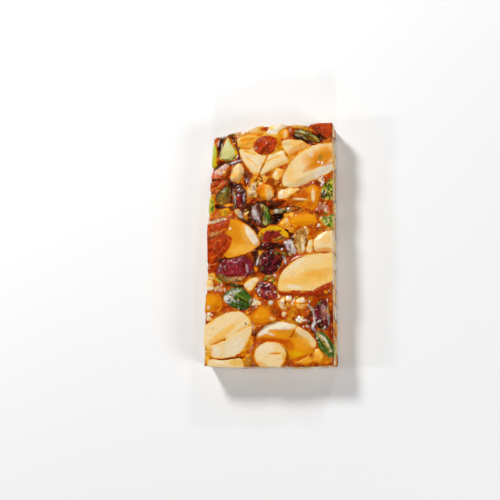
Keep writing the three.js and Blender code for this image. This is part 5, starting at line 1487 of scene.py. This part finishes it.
# The ivory, grey and lilac strokes here are painted sheen and highlights; the others are colours in the sugar
# itself.
PAINTED_SHEENS_AND_MARKS = [
    # colour, x, y, half length, half width, turn, strength
    ("ember", -20.6, 38.3, 0.9, 1.4, 0, 0.8), ("olive", -15.6, 40.2, 3, 0.7, 6, 0.9),
    ("moss", -17.2, 38.6, 1, 0.8, 0, 0.6), ("grey", -17.5, 39.6, 1.4, 0.6, 20, 0.9),
    ("bronze", -12.6, 40, 1.6, 0.6, 0, 0.8), ("grey", -19.5, 37, 0.3, 1.2, -10, 0.8),
    ("grey", -18.2, 35.8, 0.25, 1, 0, 0.8), ("tan", -9.6, 40.8, 2.6, 0.6, 6, 0.8),
    ("lilac", -13.2, 30, 2.6, 0.35, 14, 1.0), ("grey", 7, 0.6, 0.9, 0.8, 0, 0.75),
    ("grey", 8.3, -1.8, 0.6, 2, 18, 0.8), ("lilac", 6.2, -0.6, 0.6, 0.9, 0, 0.6),
    ("grey", -4.3, -5.8, 0.4, 1.8, -12, 0.85), ("grey", 5.5, -6, 0.45, 1.2, 12, 0.85),
    ("ivory", -5.2, -20.6, 1, 1.1, 0, 0.85), ("ivory", 11.4, -26.6, 1.9, 0.5, -6, 0.9),
    ("ivory", 14.6, -22.5, 1.4, 0.5, -52, 0.95), ("grey", 16, -25.4, 2.2, 0.5, -82, 0.95),
    ("grey", 15.8, -28.2, 1.4, 0.5, -106, 0.9), ("lilac", 16, -30, 1.2, 0.5, -50, 0.8),
    ("brick", 10, -17.7, 7.4, 0.5, -1, 2.0), ("brick", 19.6, -15.8, 4.8, 0.5, 24, 2.0),
    ("brick", 6.8, 38.6, 0.7, 1.2, -10, 0.9), ("ivory", 6.6, 40.8, 0.35, 0.7, 0, 0.9),
    ("scarlet", -2.3, 41.4, 1.3, 0.5, 0, 0.95), ("tan", -3.4, 42.6, 2.6, 0.4, 6, 0.8),
    ("maroon", 0.2, -0.6, 3, 0.9, 4, 0.9), ("wine", -1.4, -0.2, 1, 0.4, 0, 0.7),
    ("olive", 4.8, -3.4, 1.2, 0.7, -30, 0.7), ("mustard", 9.5, -38.6, 1.3, 0.6, 0, 0.95),
    ("leaf", -12.4, -14.3, 1.6, 0.4, -6, 0.7), ("lime", -18.2, -12.6, 1.8, 0.5, -32, 0.7),
    ("rose", 17.5, 12.8, 0.9, 1.2, 0, 0.5), ("lilac", -13.9, 19, 0.25, 1.2, 0, 0.6),
    ("lilac", -5.4, -28.6, 0.35, 1.6, 0, 0.7), ("rose", -6, -36.6, 0.5, 1.4, -20, 0.5),
    ("leaf", 19.4, 10.4, 1, 0.5, 0, 0.7), ("lime", 22, 5.6, 0.4, 1.8, 0, 0.8),
    ("olive", 9.6, -27.6, 1.2, 0.5, -20, 0.6), ("wine", 17.4, 36.4, 1.2, 0.4, -20, 0.6),
    ("ivory", -0.6, 41.9, 0.8, 0.4, 0, 0.6), ("pear", 22.4, -37.4, 0.4, 1.4, 10, 0.8),
    ("grey", -9.8, 9.2, 0.8, 0.4, 0, 0.5),
]

# The glints are painted highlights: small white strokes drawn over the deep sugar.
glint_chance = np.random.default_rng(37)
glint_x, glint_y = glint_chance.uniform(-22, 22, GLINTS), glint_chance.uniform(-42, 42, GLINTS)
lit = ((bed_depth_and_shade > 1.6) & (nearest > 0.1))[grid_cell(glint_x, glint_y)]
glints = [("glint_white", x, y, 0.2 + 0.5 * a ** 2, 0.11 + 0.1 * b, 180 * t, 1.1) for x, y, a, b, t in
          np.stack([glint_x, glint_y, *glint_chance.random((3, GLINTS))], -1)[lit]]
sugar_tint = paint(paint(glazed(bed_tint, depth), flat_places, PAINTED_SHEENS_AND_MARKS, BROKEN), flat_places, glints)
print(len(PAINTED_SHEENS_AND_MARKS), "sheens and", len(glints), "glints")

# %% [markdown]
# ## The slab as one closed piece
#
# The slab's top is the grid of heights. Its rim is listed once round, so that the wall's rings can run down the
# four cut faces from it and then draw in under the bar to a point. The walls are uneven and lie a little behind
# the knife's plane, so that the nuts stand out of them. Hollows for the nuts could be cut with Boolean, but the
# grid only has to dip below them, where nobody sees it.

# %% The slab as one closed piece
WALL_ROWS = 18
UNDER_RINGS = 24
RIM_HIGHEST = 8.9
WALL_BACK = 0.26
WALL_GLOSS = 0.55


def rim_indices():
    """The grid's edge, once round against the clock, as (row, column) index arrays."""
    rows, columns = SUGAR_GRID
    foot = [(0, c) for c in range(columns - 1)]
    right_side = [(r, columns - 1) for r in range(rows - 1)]
    head = [(rows - 1, c) for c in range(columns - 1, 0, -1)]
    left_side = [(r, 0) for r in range(rows - 1, 0, -1)]
    return np.array(foot + right_side + head + left_side).T


rim_row, rim_column = rim_indices()
rim = (rim_row, rim_column)
sugar_z[rim] = np.minimum(sugar_z[rim], RIM_HIGHEST)
top_places = np.stack([sugar_x, sugar_y, sugar_z], -1)
rim_places = top_places[rim]
fall = np.linspace(0, 1, WALL_ROWS + 1)[1:, None, None]
foot_places = np.column_stack([rim_places[:, :2], np.full(len(rim_row), SUGAR_UNDER)])
wall_places = rim_places[None] * (1 - fall) + foot_places * fall
outward = np.stack([(rim_column == ACROSS) * 1.0 - (rim_column == 0),
                    (rim_row == ALONG) * 1.0 - (rim_row == 0)], -1)
ripple = 0.16 * crags(wall_places, 2.4, seed=14) + 0.05 * lumps(wall_places, 0.8, seed=15)
wall_places[..., :2] += (ripple[..., None] - WALL_BACK) * outward[None]
shrink = np.linspace(1, 0, UNDER_RINGS + 1)[1:-1, None, None]
under_places = wall_places[-1:] * shrink + np.array([0, 0, SUGAR_UNDER]) * (1 - shrink)
under_places[..., 2] += 0.12 * crags(under_places, 3, seed=8) * (1 - shrink[..., 0] ** 8)

wall_tint = sugar_colour(np.clip(2.6 + 2.4 * crags(wall_places, 3.2, seed=17), 0.8, 5))
under_tint = sugar_colour(np.clip(1.2 + 1.2 * crags(under_places, 3.2, seed=18), 0.1, 5))
ring_places = np.concatenate([wall_places, under_places])
ring_tints = np.concatenate([wall_tint, under_tint])

grid_count, rim_count = SUGAR_GRID[0] * SUGAR_GRID[1], len(rim_row)
grid_index = np.arange(grid_count).reshape(SUGAR_GRID)
top_quads = np.stack([grid_index[:-1, :-1], grid_index[:-1, 1:], grid_index[1:, 1:], grid_index[1:, :-1]],
                     -1).reshape(-1, 4)
ring_index = grid_count + np.arange(ring_places[..., 0].size).reshape(-1, rim_count)
bands = np.concatenate([grid_index[rim][None], ring_index])
ahead = np.roll(bands, -1, axis=1)
wall_quads = np.stack([bands[:-1], bands[1:], ahead[1:], ahead[:-1]], -1).reshape(-1, 4)
last = grid_count + ring_index.size
slab_shape = (
    np.concatenate([top_places.reshape(-1, 3), ring_places.reshape(-1, 3), ring_places[-1].mean(0)[None]]),
    [top_quads, wall_quads, fan_faces(last, last - rim_count, rim_count, True)],
    np.concatenate([sugar_tint.reshape(-1, 3), ring_tints.reshape(-1, 3), ring_tints[-1].mean(0)[None]]),
    np.concatenate([shine.ravel(), np.full(ring_index.size + 1, WALL_GLOSS)]),
)
make_piece("boiled_sugar", [slab_shape], FINISHES["sugar"], "amber_sugar", SLAB)
print("slab of", 2 * (len(top_quads) + len(wall_quads)) + rim_count, "triangles")

# %% [markdown]
# ## Sections of nuts
#
# The knife also cut the nuts inside the bar, so its faces show their pale sections, with a little sugar between.
# They are packed like cells: places are drawn, the largest first, and each section grows until it meets a
# neighbour. It is a rough plate with a rounded edge, sunk more or less behind the face's plane: `a` runs along the
# face, `b` up it and `c` out of it. Whole nuts cut with Boolean would show the same for many more faces.

# %% Sections of nuts
SECTION_COLOURS = ["ivory", "cream", "butter", "tan", "straw", "honey", "lime", "rust"]
SECTION_SHARES = [0.32, 0.30, 0.12, 0.12, 0.04, 0.03, 0.04, 0.03]
SECTION_DEPTH = 1.6
SEAM = 0.16
CELL_EDGE = 0.3
RECESS = 2.5
EDGE_SUGAR = 0.7
TRIES = 1600
STRETCH = np.array([1.4, 1.0])
CELL_TURNS = np.arange(30) * 2 * np.pi / 30
CELL_RAYS = np.stack([np.cos(CELL_TURNS), np.sin(CELL_TURNS)], -1)


def scattered(chance, low, high, sizes, blocked):
    """Places drawn between two corners, the largest first, each kept if it is free and clear of earlier ones."""
    found = np.empty((0, 3))
    for a, b, size in np.column_stack([chance.uniform(low, high, (len(sizes), 2)), sizes]):
        middle = np.array([a, b])
        apart = np.hypot(*((found[:, :2] - middle) / STRETCH).T)
        if not blocked(middle + 0.7 * size * CELL_RAYS[::5]).any() and (apart > 0.9 * (size + found[:, 2])).all():
            found = np.append(found, [[a, b, size]], 0)
    return found


def cell_reaches(found, number, blocked):
    """How far a cell reaches each way: to where two sizes balance, (d^2 + s^2 - t^2) / 2d, or to what blocks it.

    Its corners are worn, a seam of uneven width is left round it, and its outline is roughened.
    """
    middle, size = found[number, :2], found[number, 2]
    others = np.delete(found, number, 0)
    offsets = (others[:, :2] - middle) / STRETCH
    towards = CELL_RAYS @ offsets.T
    balance = ((offsets ** 2).sum(1) + size ** 2 - others[:, 2] ** 2) / (2 * np.maximum(towards, HAIR))
    nearest_balance = np.where(towards > HAIR, balance, np.inf).min(1)
    steps = np.linspace(0, 1.6 * size, 30)
    free = ~blocked(middle + steps[:, None, None] * CELL_RAYS * STRETCH)
    clear = np.where(np.logical_and.accumulate(free, 0), steps[:, None], 0).max(0)
    reaches = softened(np.minimum(nearest_balance, clear))
    rim = np.column_stack([middle + reaches[:, None] * CELL_RAYS, np.full(len(CELL_RAYS), number)])
    seam = SEAM * (1 + 3 * np.maximum(crags(rim * [1, 1, 0], 5, seed=48), 0))
    return np.maximum((reaches - seam) * (1 + 0.2 * crags(rim, 1.1, seed=46)), 0.12)


def cell_rings(found, number, blocked, levels, rough):
    """Rings over a cell in a, b and c: level, rounded down to the edge, roughened, and sunk by its own recess."""
    reaches = cell_reaches(found, number, blocked)
    shares = (1 - (1 - np.linspace(0, 1, levels + 1)[1:]) ** 1.5)[:, None]
    plan = found[number, :2] + (shares * reaches)[..., None] * CELL_RAYS * STRETCH
    rise = np.broadcast_to(-CELL_EDGE * (1 - np.sqrt(1 - shares ** 6)), plan.shape[:2])
    rings = np.concatenate([plan, rise[..., None]], -1)
    recess = RECESS * (number * GOLDEN % 1) ** 2
    rings[..., 2] -= rough * (1 + recess + crags(rings + [0, 0, number], 1.0, seed=47)) + 0.02
    return np.concatenate([rings, rings[-1:] - [0, 0, SECTION_DEPTH]])


def cell_shape(placed, chance, gloss):
    """One section in place, in a colour drawn for it, with brown sugar drawn up at its edge."""
    own = COLOURS[chance.choice(SECTION_COLOURS, p=SECTION_SHARES)]
    edge = np.linspace(0, 1, len(placed))[:, None, None] ** 4
    tint = broken_face(own, placed)
    tint = tint + (COLOURS["rust"] - tint) * edge * EDGE_SUGAR
    return closed_shape(placed, tint, np.clip(gloss + 0.35 * crags(placed, 3, seed=5), 0.05, 1))


print("sections have", len(CELL_RAYS), "steps round")

# %% [markdown]
# ## Nuts in the cut faces
#
# `SIDES` says for each face which axis it stands across, on which side of the middle, and which way `a` runs. The
# sections keep to the room between the board and the frame's own nuts, whose cut bottoms are its ceiling.

# %% Nuts in the cut faces
SIDES = {"right": (0, 1, 1), "left": (0, -1, -1), "head": (1, 1, -1), "foot": (1, -1, 1)}
SECTION_TOP, SECTION_FOOT = 8.6, 0.35
SECTION_SIZES = (0.6, 2.2)
SECTION_RINGS, SECTION_ROUGH, SECTION_GLOSS = 6, 0.1, 0.12
CORNER_GAP = 0.4
section_chance = np.random.default_rng(23)


def on_side(side, rings):
    """Carries rings from a, b, c to the bar: a along the cut face, b up, and c outwards from the knife's plane."""
    axis, sign, way = SIDES[side]
    placed = np.empty(rings.shape)
    placed[..., 1 - axis] = way * rings[..., 0]
    placed[..., axis] = sign * (face_at(side, placed[..., 1 - axis]) + rings[..., 2])
    placed[..., 2] = rings[..., 1]
    return placed


def ceiling_of(side):
    """How low the frame's own nuts reach at each place along a face."""
    axis, sign, _ = SIDES[side]
    along = np.linspace(-43, 43, 345)
    lowest = np.full(along.shape, SECTION_TOP)
    for name in NUTS:
        nut = READ[name]
        rim, bottom = nut["middle"] + nut["radii"][:, None] * RAYS, nut["low"] + nut["lift"]
        near = (nut["cut"] > 0.5) & (np.abs(sign * rim[:, axis] - face_at(side, rim[:, 1 - axis])) < 0.6)
        order = np.argsort(rim[near, 1 - axis])
        here, bottom = rim[near, 1 - axis][order], bottom[near][order]
        if len(here) > 1:
            span = (along > here[0] - 0.15) & (along < here[-1] + 0.15)
            lowest = np.where(span, np.minimum(lowest, np.interp(along, here, bottom) - 0.15), lowest)
    return along, lowest


def ends_of(side):
    """Where a face begins and ends along a."""
    axis, sign, way = SIDES[side]
    before, after = ("left", "right") if axis else ("foot", "head")
    near = sign * (41 if axis else 20)
    return sorted([way * (CORNER_GAP - face_at(before, near)), way * (face_at(after, near) - CORNER_GAP)])


def sections_of(side):
    """The shapes along one face, in the room between the board and the frame's own nuts."""
    table, way, (first, last) = ceiling_of(side), SIDES[side][2], ends_of(side)

    def blocked(places):
        """Under the foot line, over the ceiling or past either end."""
        a, b = places[..., 0], places[..., 1]
        return (b < SECTION_FOOT) | (b > np.interp(way * a, *table)) | (a < first) | (a > last)

    sizes = np.sort(section_chance.uniform(*SECTION_SIZES, TRIES))[::-1]
    found = scattered(section_chance, (first, 0.4), (last, SECTION_TOP), sizes, blocked)
    rings = [cell_rings(found, number, blocked, SECTION_RINGS, SECTION_ROUGH) for number in range(len(found))]
    return [cell_shape(on_side(side, each), section_chance, SECTION_GLOSS) for each in rings]


side_shapes = [shape for side in FACES for shape in sections_of(side)]
make_piece("cut_face_nuts", side_shapes, FINISHES["flesh"], "nut_flesh")
print(len(side_shapes), "sections in the cut faces")

# %% [markdown]
# ## Nuts under the bar
#
# The underside was rolled against a board, so nuts lie nearly flush in it, larger than in the cut faces. They are
# cells of the same kind, drawn over the whole plan and turned to face down.

# %% Nuts under the bar
UNDER_SIZES = (0.9, 3.9)
UNDER_RINGS_EACH, UNDER_ROUGH, UNDER_GLOSS = 8, 0.04, 0.6
UNDER_FLUSH = 0.02
under_chance = np.random.default_rng(29)


def off_the_plan(places):
    """Where a section would come too near a cut face; seen from below, y runs the other way."""
    return inside_knife(places[..., 0], -places[..., 1]) < 0.5


under_sizes = np.sort(under_chance.uniform(*UNDER_SIZES, TRIES))[::-1]
under_found = scattered(under_chance, (-22, -42), (22, 42), under_sizes, off_the_plan)
under_shapes = []
for number in range(len(under_found)):
    rings = cell_rings(under_found, number, off_the_plan, UNDER_RINGS_EACH, UNDER_ROUGH)
    placed = np.stack([rings[..., 0], -rings[..., 1], UNDER_FLUSH - rings[..., 2]], -1)
    under_shapes.append(cell_shape(placed, under_chance, UNDER_GLOSS))
make_piece("underside_nuts", under_shapes, FINISHES["flesh"], "nut_flesh")
print(len(under_shapes), "nuts under the bar")

# %% [markdown]
# ## Floor and light
#
# A pale floor and soft studio light. The large key light stands beyond the head of the bar and to its left, so the
# lower right edges of the nuts fall into shade. Smaller, brighter lights low round the bar put the fine white
# glints on the sugar without a veil over its colour.

# %% Floor and light
FLOOR_SIZE = 3000
FLOOR_PALE, FLOOR_GREY = (0.95, 0.95, 0.95), (0.88, 0.88, 0.9)
LIGHTS = [
    # name, place, size, watts
    ("key", (-300, 440, 400), 150, 3.6),
    ("fill", (440, -200, 300), 200, 1.2),
    ("glint_left", (-440, -60, 230), 50, 0.45),
    ("glint_foot", (40, -440, 230), 50, 0.45),
    ("glint_head", (160, 460, 250), 40, 0.45),
]
SKY_COLOUR, SKY_STRENGTH = (1.0, 0.98, 0.95, 1), 0.07


def studio_floor():
    """A pale square with a faint cloudiness, marked as stage."""
    maker = Maker("pale_floor")
    colour = maker.mix(maker.noise(0.02, 2.0, 0.5) * 0.08, FLOOR_PALE, FLOOR_GREY)
    corners = FLOOR_SIZE * MM * np.array([(-1, -1, 0), (1, -1, 0), (1, 1, 0), (-1, 1, 0)])
    mesh = bpy.data.meshes.new("floor")
    mesh.from_pydata(corners.tolist(), [], [(0, 1, 2, 3)])
    mesh.materials.append(maker.finish(Base_Color=colour, Roughness=0.6))
    floor = bpy.data.objects.new("floor", mesh)
    bpy.context.scene.collection.objects.link(floor)


def soft_light(name, place, size, watts):
    """An area light at a place in millimetres that faces the middle of the bar."""
    data = bpy.data.lights.new(name, "AREA")
    data.shape, data.size, data.energy = "DISK", size * MM, watts
    lamp = bpy.data.objects.new(name, data)
    lamp.location = Vector(place) * MM
    lamp.rotation_euler = (-lamp.location).to_track_quat("-Z", "Y").to_euler()
    bpy.context.scene.collection.objects.link(lamp)


studio_floor()
for light in LIGHTS:
    soft_light(*light)
world = bpy.data.worlds.new("studio")
world.use_nodes = True
sky = world.node_tree.nodes["Background"].inputs
sky["Color"].default_value, sky["Strength"].default_value = SKY_COLOUR, SKY_STRENGTH
bpy.context.scene.world = world
bpy.context.scene.view_settings.view_transform = "Standard"
print(len(LIGHTS), "lights set")
